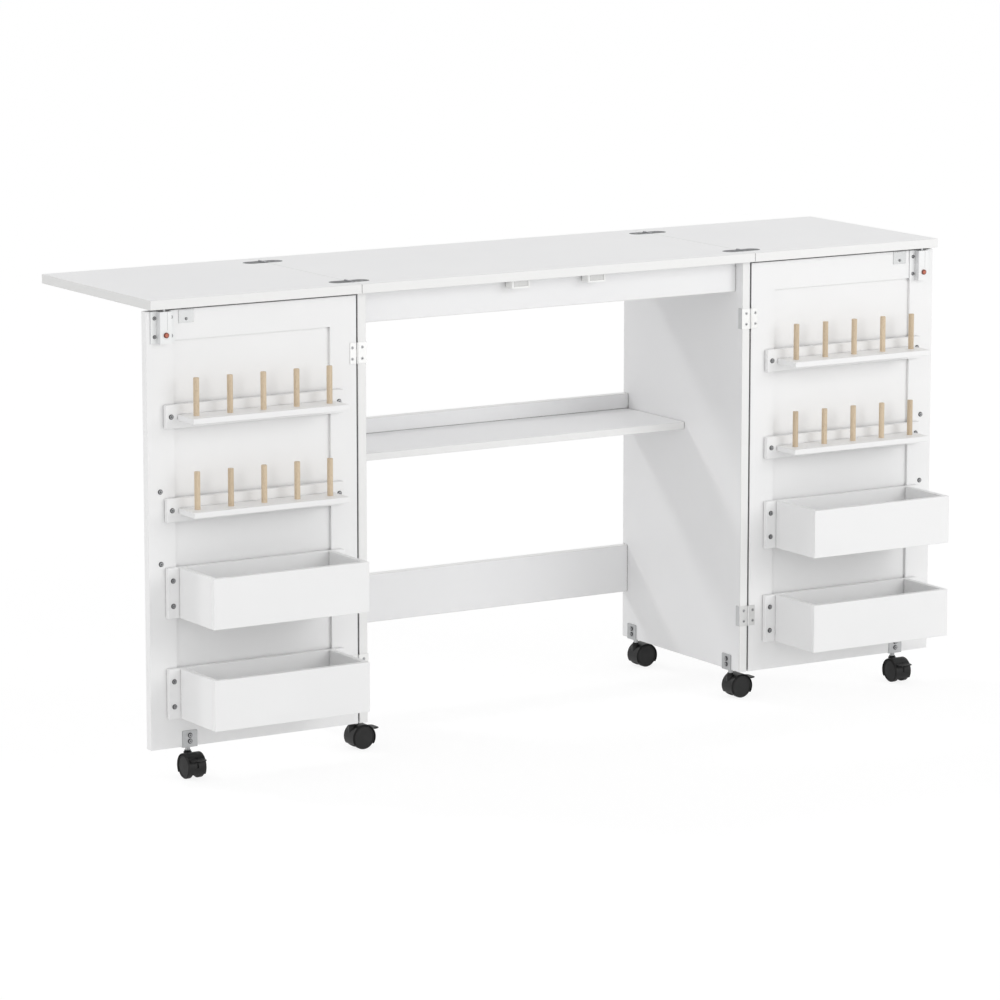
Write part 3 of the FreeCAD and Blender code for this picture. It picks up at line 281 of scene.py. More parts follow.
def makeFloor():
    # a pale paper sweep: it looks white, and still takes the table's shadow
    shape = bmesh.new()
    patches = studio["floorPatches"]
    bmesh.ops.create_grid(
        shape, x_segments=patches, y_segments=patches, size=studio["floorSize"] / 2)
    mesh = bpy.data.meshes.new("studio_floor")
    shape.to_mesh(mesh)
    shape.free()
    floor = bpy.data.objects.new("studio_floor", mesh)
    floor.location.z = -studio["floorDrop"]
    bpy.context.scene.collection.objects.link(floor)
    material = bpy.data.materials.new("pale paper floor")
    tree = emptyTree(material)
    share = addNode(tree, "ShaderNodeMath", {"operation": "MULTIPLY", 1: studio["floorLift"]}, {
        0: shownRays(tree)})
    paper = addNode(tree, "ShaderNodeBsdfDiffuse", {"Color": hexColour(studio["floor"])})
    white = addNode(tree, "ShaderNodeEmission", {
        "Color": hexColour(studio["background"]), "Strength": studio["floorGlow"]})
    both = addNode(tree, "ShaderNodeMixShader", links={
        0: share.outputs[0], 1: paper.outputs[0], 2: white.outputs[0]})
    addNode(tree, "ShaderNodeOutputMaterial", links={"Surface": both.outputs[0]})
    mesh.materials.append(material)


makeLights()
makeWorld()
makeFloor()
print("studio lit")


# white boards

boardLook = {
    "face": "#F3F3F3",
    "faceShade": "#EEEEEF",
    "band": "#F0F0EF",
    "endBandShade": "#E3E3E2",       # painted shade: the bands across the short ends, which face the sides, are drawn greyer
    "bandWidth": 0.9,            # mm, how thick the glued-on band is
    "glueLine": "#D8D7D3",
    "glueReach": 0.25,           # mm to each side; the real line is under 0.1 mm and would not show
    "glueStrength": 0.6,
    "faceFrom": 0.9,             # a surface this square to the thickness is a face
    "endFrom": 0.7,              # and one this square to the length of the table is an end
    "shine": 0.3,                # matt melamine; half is plain plastic
    "roughness": (0.36, 0.5),
    "cloud": 230,                # mm, drift of tone across a sheet
    "wipe": 75,                  # mm, patches that a cloth has left glossier
    "wave": 14,                  # mm, slow unevenness of a pressed sheet
    "waveHeight": 0.2,           # mm
    "waveStrength": 0.12,
    "pearl": 1.3,                # mm, pressed texture; the real 0.4 mm would not show
    "pearlHeight": 0.08,         # mm
    "pearlStrength": 0.22,
    "step": (1.31, 0.47, 0.83),  # m from one board's pattern to the next one's
}

# each board, and the axis of its thickness
boards = {
    "centre_top": 2, "left_leaf": 2, "right_leaf": 2, "left_side_panel": 0, "right_side_panel": 0,
    "front_apron": 1, "shelf_board": 2, "shelf_lip": 1, "lower_rail": 1,
}


def melamineBoard(node, thickness, seed):
    # melamine paper pressed on particle board, with glued-on edge band: an even white with a faint
    # pearl, so highlights break up softly, and a hairline where the band meets the face
    material, tree, shader, places = newMaterial("melamine board, " + node.replace("_", " "))
    moved = addNode(tree, "ShaderNodeMapping", {
        "Location": tuple(seed * distance for distance in boardLook["step"])}, {
        "Vector": places.outputs["Object"]})
    cloud = addNode(tree, "ShaderNodeTexNoise", {
        "Scale": perMetre(boardLook["cloud"]), "Detail": 2.0}, {
        "Vector": moved.outputs[0]})
    face = addNode(tree, "ShaderNodeMix", {
        "data_type": "RGBA",
        6: hexColour(boardLook["face"]), 7: hexColour(boardLook["faceShade"])}, {
        0: cloud.outputs["Fac"]})

    # how far a point is from the nearest end of the board, in the two directions of its face
    lowest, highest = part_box(node)
    split = addNode(tree, "ShaderNodeSeparateXYZ", links={0: places.outputs["Object"]})
    nearest = None
    for axis in (k for k in range(3) if k != thickness):
        fromLow = addNode(tree, "ShaderNodeMath", {"operation": "SUBTRACT", 1: lowest[axis]}, {
            0: split.outputs[axis]})
        fromHigh = addNode(tree, "ShaderNodeMath", {"operation": "SUBTRACT", 0: highest[axis]}, {
            1: split.outputs[axis]})
        for distance in (fromLow, fromHigh):
            if nearest:
                distance = addNode(tree, "ShaderNodeMath", {"operation": "MINIMUM"}, {
                    0: nearest.outputs[0], 1: distance.outputs[0]})
            nearest = distance
    line = addNode(tree, "ShaderNodeMath", {
        "operation": "COMPARE",
        1: boardLook["bandWidth"] / 1000, 2: boardLook["glueReach"] / 1000}, {
        0: nearest.outputs[0]})
    faint = addNode(tree, "ShaderNodeMath", {
        "operation": "MULTIPLY", 1: boardLook["glueStrength"]}, {0: line.outputs[0]})
    lined = addNode(tree, "ShaderNodeMix", {
        "data_type": "RGBA", 7: hexColour(boardLook["glueLine"])}, {
        0: faint.outputs[0], 6: face.outputs[2]})

    # faces, long bands, and the bands on the ends, drawn greyer as painted shade
    onFace = addNode(tree, "ShaderNodeMath", {
        "operation": "GREATER_THAN", 1: boardLook["faceFrom"]}, {
        0: facingAlong(tree, places, thickness)})
    onShadedEnd = addNode(tree, "ShaderNodeMath", {
        "operation": "GREATER_THAN", 1: boardLook["endFrom"]}, {
        0: facingAlong(tree, places, "X")})
    band = addNode(tree, "ShaderNodeMix", {
        "data_type": "RGBA",
        6: hexColour(boardLook["band"]), 7: hexColour(boardLook["endBandShade"])}, {
        0: onShadedEnd.outputs[0]})
    colour = addNode(tree, "ShaderNodeMix", {"data_type": "RGBA"}, {
        0: onFace.outputs[0], 6: band.outputs[2], 7: lined.outputs[2]})
    # the colour darkened by painted shade in narrow gaps
    tree.links.new(paintedCreviceShade(tree, colour.outputs[2]), shader.inputs["Base Color"])

    shader.inputs["Specular IOR Level"].default_value = boardLook["shine"]
    wipe = addNode(tree, "ShaderNodeTexNoise", {
        "Scale": perMetre(boardLook["wipe"]), "Detail": 4.0, "Roughness": 0.6}, {
        "Vector": moved.outputs[0]})
    smoothest, roughest = boardLook["roughness"]
    gloss = addNode(tree, "ShaderNodeMapRange", {"To Min": smoothest, "To Max": roughest}, {
        "Value": wipe.outputs["Fac"]})
    tree.links.new(gloss.outputs[0], shader.inputs["Roughness"])
    pearl = addNode(tree, "ShaderNodeTexNoise", {
        "Scale": perMetre(boardLook["pearl"]), "Detail": 2.0}, {
        "Vector": moved.outputs[0]})
    wave = addNode(tree, "ShaderNodeTexNoise", {"Scale": perMetre(boardLook["wave"])}, {
        "Vector": moved.outputs[0]})
    slow = addNode(tree, "ShaderNodeBump", {
        "Strength": boardLook["waveStrength"], "Distance": boardLook["waveHeight"] / 1000}, {
        "Height": wave.outputs["Fac"]})
    fine = addNode(tree, "ShaderNodeBump", {
        "Strength": boardLook["pearlStrength"], "Distance": boardLook["pearlHeight"] / 1000}, {
        "Height": pearl.outputs["Fac"], "Normal": slow.outputs[0]})
    tree.links.new(fine.outputs[0], shader.inputs["Normal"])
    return material


for count, (board, thickness) in enumerate(boards.items()):
    dress(board, melamineBoard(board, thickness, count + 1))
print("boards finished")


# painted boards

paintLook = {
    "white": "#F4F4F4",
    "whiteShade": "#EFEFEF",
    "cloud": 110,         # mm, drift of tone
    "peel": 2.4,          # mm, orange peel of sprayed lacquer
    "peelHeight": 0.12,   # mm
    "peelStrength": 0.2,
    "speck": 0.9,         # mm, dry overspray; the real 0.2 mm would not show
    "speckSpan": (0.3, 0.7),
    "speckHeight": 0.05,  # mm
    "speckStrength": 0.15,
    "smoother": 0.14,     # how far the gloss rises between specks
    "step": (1.0, 0.61, 0.37),
}

# each painted node of a door: what it is made of, and the roughness of its specks
paintedBoards = {
    "door_frame": ("fibreboard", 0.52),
    "door_panel": ("hardboard", 0.44),
    "spool_racks": ("fibreboard", 0.5),
    "bins": ("fibreboard", 0.5),
}
paintSeeds = {"left": 3.1, "right": 7.7}      # where each door's patterns start


def sprayedLacquer(name, seed, roughest):
    # satin lacquer sprayed on fibreboard: soft-edged highlights over an orange peel
    material, tree, shader, places = newMaterial(name)
    moved = addNode(tree, "ShaderNodeMapping", {
        "Location": tuple(seed * distance for distance in paintLook["step"])}, {
        "Vector": places.outputs["Object"]})
    cloud = addNode(tree, "ShaderNodeTexNoise", {
        "Scale": perMetre(paintLook["cloud"]), "Detail": 3.0}, {
        "Vector": moved.outputs[0]})
    colour = addNode(tree, "ShaderNodeMix", {
        "data_type": "RGBA",
        6: hexColour(paintLook["white"]), 7: hexColour(paintLook["whiteShade"])}, {
        0: cloud.outputs["Fac"]})
    # the colour darkened by painted shade in narrow gaps
    tree.links.new(paintedCreviceShade(tree, colour.outputs[2]), shader.inputs["Base Color"])
    speck = addNode(tree, "ShaderNodeTexNoise", {
        "Scale": perMetre(paintLook["speck"]), "Detail": 3.0}, {
        "Vector": moved.outputs[0]})
    fewest, most = paintLook["speckSpan"]
    gloss = addNode(tree, "ShaderNodeMapRange", {
        "From Min": fewest, "From Max": most,
        "To Min": roughest - paintLook["smoother"], "To Max": roughest}, {
        "Value": speck.outputs["Fac"]})
    tree.links.new(gloss.outputs[0], shader.inputs["Roughness"])
    peel = addNode(tree, "ShaderNodeTexVoronoi", {
        "feature": "SMOOTH_F1", "Scale": perMetre(paintLook["peel"])}, {
        "Vector": moved.outputs[0]})
    peeled = addNode(tree, "ShaderNodeBump", {
        "Strength": paintLook["peelStrength"], "Distance": paintLook["peelHeight"] / 1000}, {
        "Height": peel.outputs["Distance"]})
    dry = addNode(tree, "ShaderNodeBump", {
        "Strength": paintLook["speckStrength"], "Distance": paintLook["speckHeight"] / 1000}, {
        "Height": speck.outputs["Fac"], "Normal": peeled.outputs[0]})
    tree.links.new(dry.outputs[0], shader.inputs["Normal"])
    return material


for side, seed in paintSeeds.items():
    for step, (part, (board, roughest)) in enumerate(paintedBoards.items()):
        name = "sprayed %s, %s %s" % (board, side, part.replace("_", " "))
        dress("%s_%s" % (side, part), sprayedLacquer(name, seed + step, roughest))
print("painted boards finished")


# pegs

pegLook = {
    "pale": "#DAC7AC",
    "dark": "#C4B095",
    "fleck": "#9E866A",
    "ring": 1.7,          # mm between growth rings across a peg
    "ringShare": 0.9,     # of the tone; the rest is the drift
    "ringStretch": 0.05,  # rings' width over their length along the peg
    "drift": 48,          # mm, change of tone from peg to peg
    "toneSpan": (0.6, 1.3),
    "fleckWidth": 0.55,   # mm; real ray flecks are about 0.2 mm and would not show
    "fleckLength": 5,     # mm
    "fleckSpan": (0.6, 0.7),
    "fleckStrength": 0.55,
    "roughness": (0.48, 0.66),
    "poreDepth": 0.1,     # mm
    "poreStrength": 0.35,
}


def turnedBeech():
    # dowels turned from steamed beech: straight grain, and short dark flecks that run along the peg
    material, tree, shader, places = newMaterial("turned beech")
    streaks = addNode(tree, "ShaderNodeMapping", {
        "Scale": (1.0, 1.0, pegLook["ringStretch"])}, {
        "Vector": places.outputs["Object"]})
    ring = addNode(tree, "ShaderNodeTexNoise", {
        "Scale": perMetre(pegLook["ring"]), "Detail": 3.0, "Distortion": 0.4}, {
        "Vector": streaks.outputs[0]})
    tone = addNode(tree, "ShaderNodeTexNoise", {
        "Scale": perMetre(pegLook["drift"]), "Detail": 0.0}, {
        "Vector": streaks.outputs[0]})
    blend = addNode(tree, "ShaderNodeMath", {
        "operation": "MULTIPLY_ADD", 1: pegLook["ringShare"]}, {
        0: ring.outputs["Fac"], 2: tone.outputs["Fac"]})
    lightest, darkest = pegLook["toneSpan"]
    spread = addNode(tree, "ShaderNodeMapRange", {"From Min": lightest, "From Max": darkest}, {
        "Value": blend.outputs[0]})
    wood = addNode(tree, "ShaderNodeMix", {
        "data_type": "RGBA",
        6: hexColour(pegLook["pale"]), 7: hexColour(pegLook["dark"])}, {
        0: spread.outputs[0]})
    short = addNode(tree, "ShaderNodeMapping", {
        "Scale": (1.0, 1.0, pegLook["fleckWidth"] / pegLook["fleckLength"])}, {
        "Vector": places.outputs["Object"]})
    fleck = addNode(tree, "ShaderNodeTexNoise", {
        "Scale": perMetre(pegLook["fleckWidth"]), "Detail": 1.0}, {
        "Vector": short.outputs[0]})
    faintest, fullest = pegLook["fleckSpan"]
    marks = addNode(tree, "ShaderNodeMapRange", {
        "From Min": faintest, "From Max": fullest, "To Max": pegLook["fleckStrength"]}, {
        "Value": fleck.outputs["Fac"]})
    colour = addNode(tree, "ShaderNodeMix", {
        "data_type": "RGBA", 7: hexColour(pegLook["fleck"])}, {
        0: marks.outputs[0], 6: wood.outputs[2]})
    tree.links.new(colour.outputs[2], shader.inputs["Base Color"])
    smoothest, roughest = pegLook["roughness"]
    gloss = addNode(tree, "ShaderNodeMapRange", {"To Min": smoothest, "To Max": roughest}, {
        "Value": ring.outputs["Fac"]})
    tree.links.new(gloss.outputs[0], shader.inputs["Roughness"])
    pores = addNode(tree, "ShaderNodeBump", {
        "Strength": pegLook["poreStrength"], "Distance": pegLook["poreDepth"] / 1000,
        "invert": True}, {
        "Height": fleck.outputs["Fac"]})
    tree.links.new(pores.outputs[0], shader.inputs["Normal"])
    return material


beech = turnedBeech()
for side in ("left", "right"):
    dress(side + "_spool_pegs", beech)
print("pegs finished")


# metals

steelLook = {
    "stretch": 0.03,        # rolling lines' width over their length
    "patch": 6,             # mm, patches of gloss
    "sumSpan": (0.6, 1.4),  # of lines and patches added up
    "smoother": 0.1,
    "rougher": 0.12,
    "lineHeight": 0.05,     # mm
    "lineStrength": 0.25,
    "flangeFrom": 0.8,      # a surface this square to X is a folded flange
}

# grain is the width of the rolling lines in mm; real ones are about 0.1 mm and would not show.
# along is the axis that the lines run along
steels = {
    "hinge": {
        "name": "zinc-plated hinge steel", "colour": "#E1E1E0", "shade": "#D6D6D5",
        "grain": 0.5, "along": 2, "roughness": 0.36},
    "wrappedHinge": {
        "name": "zinc-plated wrap hinge steel", "colour": "#E1E1E0", "shade": "#D6D6D5",
        "grain": 0.5, "along": 2, "roughness": 0.36, "flangeShade": "#BFC0C1"},
    "bracket": {
        "name": "zinc-plated bracket steel", "colour": "#B9BABB", "shade": "#A6A7A8",
        "grain": 0.6, "along": 2, "roughness": 0.46},
    "strikePlate": {
        "name": "zinc-plated strike plate", "colour": "#C8C9C9", "shade": "#BEBFBF",
        "grain": 0.5, "along": 0, "roughness": 0.38},
    "cam": {
        "name": "die-cast zinc cam", "colour": "#B4B4B3", "shade": "#8F8F8E",
        "grain": 1.2, "along": 1, "roughness": 0.5},
    "flapHinge": {
        "name": "dark nickel flap hinge", "colour": "#686A6B", "shade": "#535557",
        "grain": 0.5, "along": 1, "roughness": 0.46},
    "screwHead": {
        "name": "zinc-plated screw head", "colour": "#BDBEBF", "shade": "#9C9D9E",
        "grain": 0.4, "along": 0, "roughness": 0.36},
    # painted shade on the screws' sides and recess floors, drawn as a dark ring round each head
    "screwShade": {
        "name": "screw edge in painted shade", "colour": "#4E4E50", "shade": "#38383A",
        "grain": 0.4, "along": 0, "roughness": 0.5},
    "bolt": {
        "name": "bright bolt steel", "colour": "#C4C5C6", "shade": "#A9AAAC",
        "grain": 0.4, "along": 2, "roughness": 0.3},
    "keeper": {
        "name": "nickel-plated magnet keeper", "colour": "#BDBDBC", "shade": "#B2B2B1",
        "grain": 0.5, "along": 0, "roughness": 0.42},
}

# painted light on the fold-over hinges' barrels
barrelLook = {
    "litBarrel": "#8D8E90",
    "foot": 0.7602,  # m, height at which the fold-over hinges' barrels rise from their plates
}


def platedSteel(name, colour, shade, grain, along, roughness, flangeShade=None):
    # zinc-plated sheet steel: soft grey with the mill's rolling lines and a patchy gloss; a flange
    # that is folded square to the leaf can be drawn darker, which is painted shade
    material, tree, shader, places = newMaterial(name)
    stretch = [1.0, 1.0, 1.0]
    stretch[along] = steelLook["stretch"]
    lines = addNode(tree, "ShaderNodeMapping", {"Scale": stretch}, {
        "Vector": places.outputs["Object"]})
    rolled = addNode(tree, "ShaderNodeTexNoise", {"Scale": perMetre(grain), "Detail": 3.0}, {
        "Vector": lines.outputs[0]})
    patch = addNode(tree, "ShaderNodeTexNoise", {
        "Scale": perMetre(steelLook["patch"]), "Detail": 4.0, "Roughness": 0.65}, {
        "Vector": places.outputs["Object"]})
    tint = addNode(tree, "ShaderNodeMix", {
        "data_type": "RGBA", 6: hexColour(colour), 7: hexColour(shade)}, {
        0: patch.outputs["Fac"]})
    # painted shade: the flanges that face sideways are drawn darker
    if flangeShade:
        shadedSide = addNode(tree, "ShaderNodeMath", {
            "operation": "GREATER_THAN", 1: steelLook["flangeFrom"]}, {
            0: facingAlong(tree, places, "X")})
        tint = addNode(tree, "ShaderNodeMix", {"data_type": "RGBA", 7: hexColour(flangeShade)}, {
            0: shadedSide.outputs[0], 6: tint.outputs[2]})
    tree.links.new(tint.outputs[2], shader.inputs["Base Color"])
    shader.inputs["Metallic"].default_value = 1.0
    both = addNode(tree, "ShaderNodeMath", {"operation": "ADD"}, {
        0: rolled.outputs["Fac"], 1: patch.outputs["Fac"]})
    least, most = steelLook["sumSpan"]
    gloss = addNode(tree, "ShaderNodeMapRange", {
        "From Min": least, "From Max": most,
        "To Min": roughness - steelLook["smoother"], "To Max": roughness + steelLook["rougher"]}, {
        "Value": both.outputs[0]})
    tree.links.new(gloss.outputs[0], shader.inputs["Roughness"])
    scored = addNode(tree, "ShaderNodeBump", {
        "Strength": steelLook["lineStrength"], "Distance": steelLook["lineHeight"] / 1000}, {
        "Height": rolled.outputs["Fac"]})
    tree.links.new(scored.outputs[0], shader.inputs["Normal"])
    return material


def paintLitBarrels(material):
    # painted light: the barrels are drawn brighter than their plates, against the shade that falls
    # on them
    tree = material.node_tree
    shader = tree.nodes["Principled BSDF"]
    plate = shader.inputs["Base Color"].links[0].from_socket
    places = addNode(tree, "ShaderNodeTexCoord")
    split = addNode(tree, "ShaderNodeSeparateXYZ", links={0: places.outputs["Object"]})
    above = addNode(tree, "ShaderNodeMath", {
        "operation": "GREATER_THAN", 1: barrelLook["foot"]}, {0: split.outputs["Z"]})
    tone = addNode(tree, "ShaderNodeMix", {
        "data_type": "RGBA", 7: hexColour(barrelLook["litBarrel"])}, {
        0: above.outputs[0], 6: plate})
    tree.links.new(tone.outputs[2], shader.inputs["Base Color"])


steel = {key: platedSteel(**look) for key, look in steels.items()}
paintLitBarrels(steel["flapHinge"])
for side in ("left", "right"):
    dress(side + "_hinge_leaves", steel["hinge"])
    dress(side + "_caster_bracket", steel["bracket"])
    dress(side + "_catch_plate", steel["strikePlate"])
    dress(side + "_latch_bolt", steel["bolt"])
dress("panel_hinge_leaves", steel["wrappedHinge"])
dress("panel_caster_brackets", steel["bracket"])
dress("cam_locks", steel["cam"])
dress("catch_magnets", steel["keeper"])


nickelLook = {
    "colour": "#C9C4BB",
    "shade": "#B2ADA4",
    "line": 0.35,        # mm; real brush lines are about 0.05 mm and would not show
    "stretch": 0.02,     # lines' width over their length
    "lineHeight": 0.03,  # mm
    "lineStrength": 0.3,
    "roughness": (0.24, 0.42),
}


def brushedNickel():
    # nickel-plated bar, brushed along its length: warm grey with stretched highlights
    material, tree, shader, places = newMaterial("brushed nickel")
    lines = addNode(tree, "ShaderNodeMapping", {"Scale": (1.0, 1.0, nickelLook["stretch"])}, {
        "Vector": places.outputs["Object"]})
    brushed = addNode(tree, "ShaderNodeTexNoise", {
        "Scale": perMetre(nickelLook["line"]), "Detail": 2.0}, {
        "Vector": lines.outputs[0]})
    tint = addNode(tree, "ShaderNodeMix", {
        "data_type": "RGBA",
        6: hexColour(nickelLook["colour"]), 7: hexColour(nickelLook["shade"])}, {
        0: brushed.outputs["Fac"]})
    tree.links.new(tint.outputs[2], shader.inputs["Base Color"])
    shader.inputs["Metallic"].default_value = 1.0
    smoothest, roughest = nickelLook["roughness"]
    gloss = addNode(tree, "ShaderNodeMapRange", {"To Min": smoothest, "To Max": roughest}, {
        "Value": brushed.outputs["Fac"]})
    tree.links.new(gloss.outputs[0], shader.inputs["Roughness"])
    scored = addNode(tree, "ShaderNodeBump", {
        "Strength": nickelLook["lineStrength"], "Distance": nickelLook["lineHeight"] / 1000}, {
        "Height": brushed.outputs["Fac"]})
    tree.links.new(scored.outputs[0], shader.inputs["Normal"])
    return material


nickel = brushedNickel()
for side in ("left", "right"):
    dress(side + "_pull_handle", nickel)
print("metals finished")


# moulded plastics and enamel

plasticLook = {
    "flow": 16,             # mm, drift of tone along the flow of the melt
    "grainSpan": (0.3, 0.7),
    "glossSpread": 0.07,    # to each side of the roughness
    "grainStrength": 0.3,
    "rimSpan": (0.6, 0.9),  # how square a surface is to the axle, from shell to rim
}

# grain is the tool's spark grain in mm, and depth its depth; a real one is about 0.1 mm across and
# would not show. axle is the axis of the wheels, and shine 0.5 is plain plastic
# the rim colour is painted shade on a caster hood's rims
plastics = {
    "panelHood": {
        "name": "black glass-filled nylon, panel casters", "colour": "#1F1F1F", "shade": "#171717",
        "grain": 0.8, "depth": 0.08, "roughness": 0.46, "shine": 0.25,
        "axle": "Y", "rimShade": "#0C0C0C"},
    "doorHood": {
        "name": "black glass-filled nylon, door casters", "colour": "#1F1F1F", "shade": "#171717",
        "grain": 0.8, "depth": 0.08, "roughness": 0.46, "shine": 0.25,
        "axle": "X", "rimShade": "#0C0C0C"},
    # one nylon in two tones: the panel casters' wheels are drawn lighter as painted light, and the
    # door casters' darker as painted shade
    "panelWheelLit": {
        "name": "black wheel nylon, panel casters", "colour": "#2B2B2B", "shade": "#222222",
        "grain": 0.7, "depth": 0.05, "roughness": 0.46, "shine": 0.22},
    "doorWheelShaded": {
        "name": "black wheel nylon, door casters", "colour": "#1E1E1E", "shade": "#161616",
        "grain": 0.7, "depth": 0.05, "roughness": 0.46, "shine": 0.2},
    "lever": {
        "name": "black lever nylon", "colour": "#202020", "shade": "#171717",
        "grain": 0.8, "depth": 0.08, "roughness": 0.5, "shine": 0.25},
    "catchCase": {
        "name": "white ABS", "colour": "#FAFAF9", "shade": "#F4F4F2",
        "grain": 0.8, "depth": 0.06, "roughness": 0.42, "shine": 0.5},
}


def mouldedPlastic(name, colour, shade, grain, depth, roughness, shine, axle=None, rimShade=None):
    # injection-moulded plastic from a spark-eroded tool: a fine even grain that dulls the gloss; a
    # caster hood's rims, which face along its axle, are drawn darker as painted shade
    material, tree, shader, places = newMaterial(name)
    spark = addNode(tree, "ShaderNodeTexNoise", {"Scale": perMetre(grain), "Detail": 3.0}, {
        "Vector": places.outputs["Object"]})
    flow = addNode(tree, "ShaderNodeTexNoise", {
        "Scale": perMetre(plasticLook["flow"]), "Detail": 2.0}, {
        "Vector": places.outputs["Object"]})
    tint = addNode(tree, "ShaderNodeMix", {
        "data_type": "RGBA", 6: hexColour(colour), 7: hexColour(shade)}, {
        0: flow.outputs["Fac"]})
    # painted shade: the hood's rims are drawn darker
    if rimShade:
        shellEnd, rimStart = plasticLook["rimSpan"]
        onShadedRim = addNode(tree, "ShaderNodeMapRange", {"From Min": shellEnd, "From Max": rimStart}, {
            "Value": facingAlong(tree, places, axle)})
        tint = addNode(tree, "ShaderNodeMix", {"data_type": "RGBA", 7: hexColour(rimShade)}, {
            0: onShadedRim.outputs[0], 6: tint.outputs[2]})
    tree.links.new(tint.outputs[2], shader.inputs["Base Color"])
    shader.inputs["Specular IOR Level"].default_value = shine
    spread = plasticLook["glossSpread"]
    lowest, highest = plasticLook["grainSpan"]
    gloss = addNode(tree, "ShaderNodeMapRange", {
        "From Min": lowest, "From Max": highest,
        "To Min": roughness - spread, "To Max": roughness + spread}, {
        "Value": spark.outputs["Fac"]})
    tree.links.new(gloss.outputs[0], shader.inputs["Roughness"])
    eroded = addNode(tree, "ShaderNodeBump", {
        "Strength": plasticLook["grainStrength"], "Distance": depth / 1000}, {
        "Height": spark.outputs["Fac"]})
    tree.links.new(eroded.outputs[0], shader.inputs["Normal"])
    return material


latchLook = {
    "coat": "#F5F6F6",
    "coatShade": "#EDEEEE",
    "flankShade": "#E1E2E3",       # painted shade on the folded sides
    "flankSpan": (0.4, 0.9),  # how square a surface is to X, from front to side
    "seam": "#A9AAAB",
    "seamOffset": 0.0024,     # m, from the cover's middle
    "seamWidth": 0.0005,      # m; a real fold line is about 0.1 mm and would not show
    "seamFoot": 0.021,        # m above the cover's foot
    "frontFrom": 0.9,         # only a surface this square to the front takes the seam
    "pebble": 1.0,            # mm
    "pebbleHeight": 0.08,     # mm
    "pebbleStrength": 0.3,
    "roughness": (0.34, 0.48),
}


def powderEnamel(node):
    # white powder coat over a folded steel cover: a pebbled gloss, the fold's fine joint line, and
    # sides drawn greyer as painted shade
    material, tree, shader, places = newMaterial("powder enamel, " + node.replace("_", " "))
    lowest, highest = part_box(node)
    middle = (lowest + highest) / 2
    split = addNode(tree, "ShaderNodeSeparateXYZ", links={0: places.outputs["Object"]})
    seam = addNode(tree, "ShaderNodeMath", {
        "operation": "COMPARE", 1: middle.x + latchLook["seamOffset"],
        2: latchLook["seamWidth"] / 2}, {
        0: split.outputs["X"]})
    above = addNode(tree, "ShaderNodeMath", {
        "operation": "GREATER_THAN", 1: lowest.z + latchLook["seamFoot"]}, {
        0: split.outputs["Z"]})
    facing = addNode(tree, "ShaderNodeSeparateXYZ", links={0: places.outputs["Normal"]})
    forward = addNode(tree, "ShaderNodeMath", {
        "operation": "LESS_THAN", 1: -latchLook["frontFrom"]}, {0: facing.outputs["Y"]})
    upper = addNode(tree, "ShaderNodeMath", {"operation": "MULTIPLY"}, {
        0: seam.outputs[0], 1: above.outputs[0]})
    drawn = addNode(tree, "ShaderNodeMath", {"operation": "MULTIPLY"}, {
        0: upper.outputs[0], 1: forward.outputs[0]})
    pebble = addNode(tree, "ShaderNodeTexNoise", {
        "Scale": perMetre(latchLook["pebble"]), "Detail": 2.0}, {
        "Vector": places.outputs["Object"]})
    coat = addNode(tree, "ShaderNodeMix", {
        "data_type": "RGBA",
        6: hexColour(latchLook["coat"]), 7: hexColour(latchLook["coatShade"])}, {
        0: pebble.outputs["Fac"]})
    # painted shade: the sides drawn greyer than the front
    frontEnd, sideStart = latchLook["flankSpan"]
    shadedSide = addNode(tree, "ShaderNodeMapRange", {"From Min": frontEnd, "From Max": sideStart}, {
        "Value": facingAlong(tree, places, "X")})
    sides = addNode(tree, "ShaderNodeMix", {
        "data_type": "RGBA", 7: hexColour(latchLook["flankShade"])}, {
        0: shadedSide.outputs[0], 6: coat.outputs[2]})
    colour = addNode(tree, "ShaderNodeMix", {
        "data_type": "RGBA", 7: hexColour(latchLook["seam"])}, {
        0: drawn.outputs[0], 6: sides.outputs[2]})
    # the colour darkened by painted shade in narrow gaps
    tree.links.new(paintedCreviceShade(tree, colour.outputs[2]), shader.inputs["Base Color"])
    smoothest, roughest = latchLook["roughness"]
    gloss = addNode(tree, "ShaderNodeMapRange", {"To Min": smoothest, "To Max": roughest}, {
        "Value": pebble.outputs["Fac"]})
    tree.links.new(gloss.outputs[0], shader.inputs["Roughness"])
    pebbled = addNode(tree, "ShaderNodeBump", {
        "Strength": latchLook["pebbleStrength"], "Distance": latchLook["pebbleHeight"] / 1000}, {
        "Height": pebble.outputs["Fac"]})
    tree.links.new(pebbled.outputs[0], shader.inputs["Normal"])
    return material


buttonLook = {
    "cap": "#C5715A",
    "capShade": "#BA664F",
    # painted shade round the button's edge
    "rimShade": "#783927",
    "capShare": 0.6,     # of the button's radius
    "rimBlend": 0.14,    # of the radius, from cap to rim
    "flow": 3,           # mm, drift of tone
    "flowHeight": 0.04,  # mm
    "flowStrength": 0.2,
    "roughness": (0.3, 0.42),
}


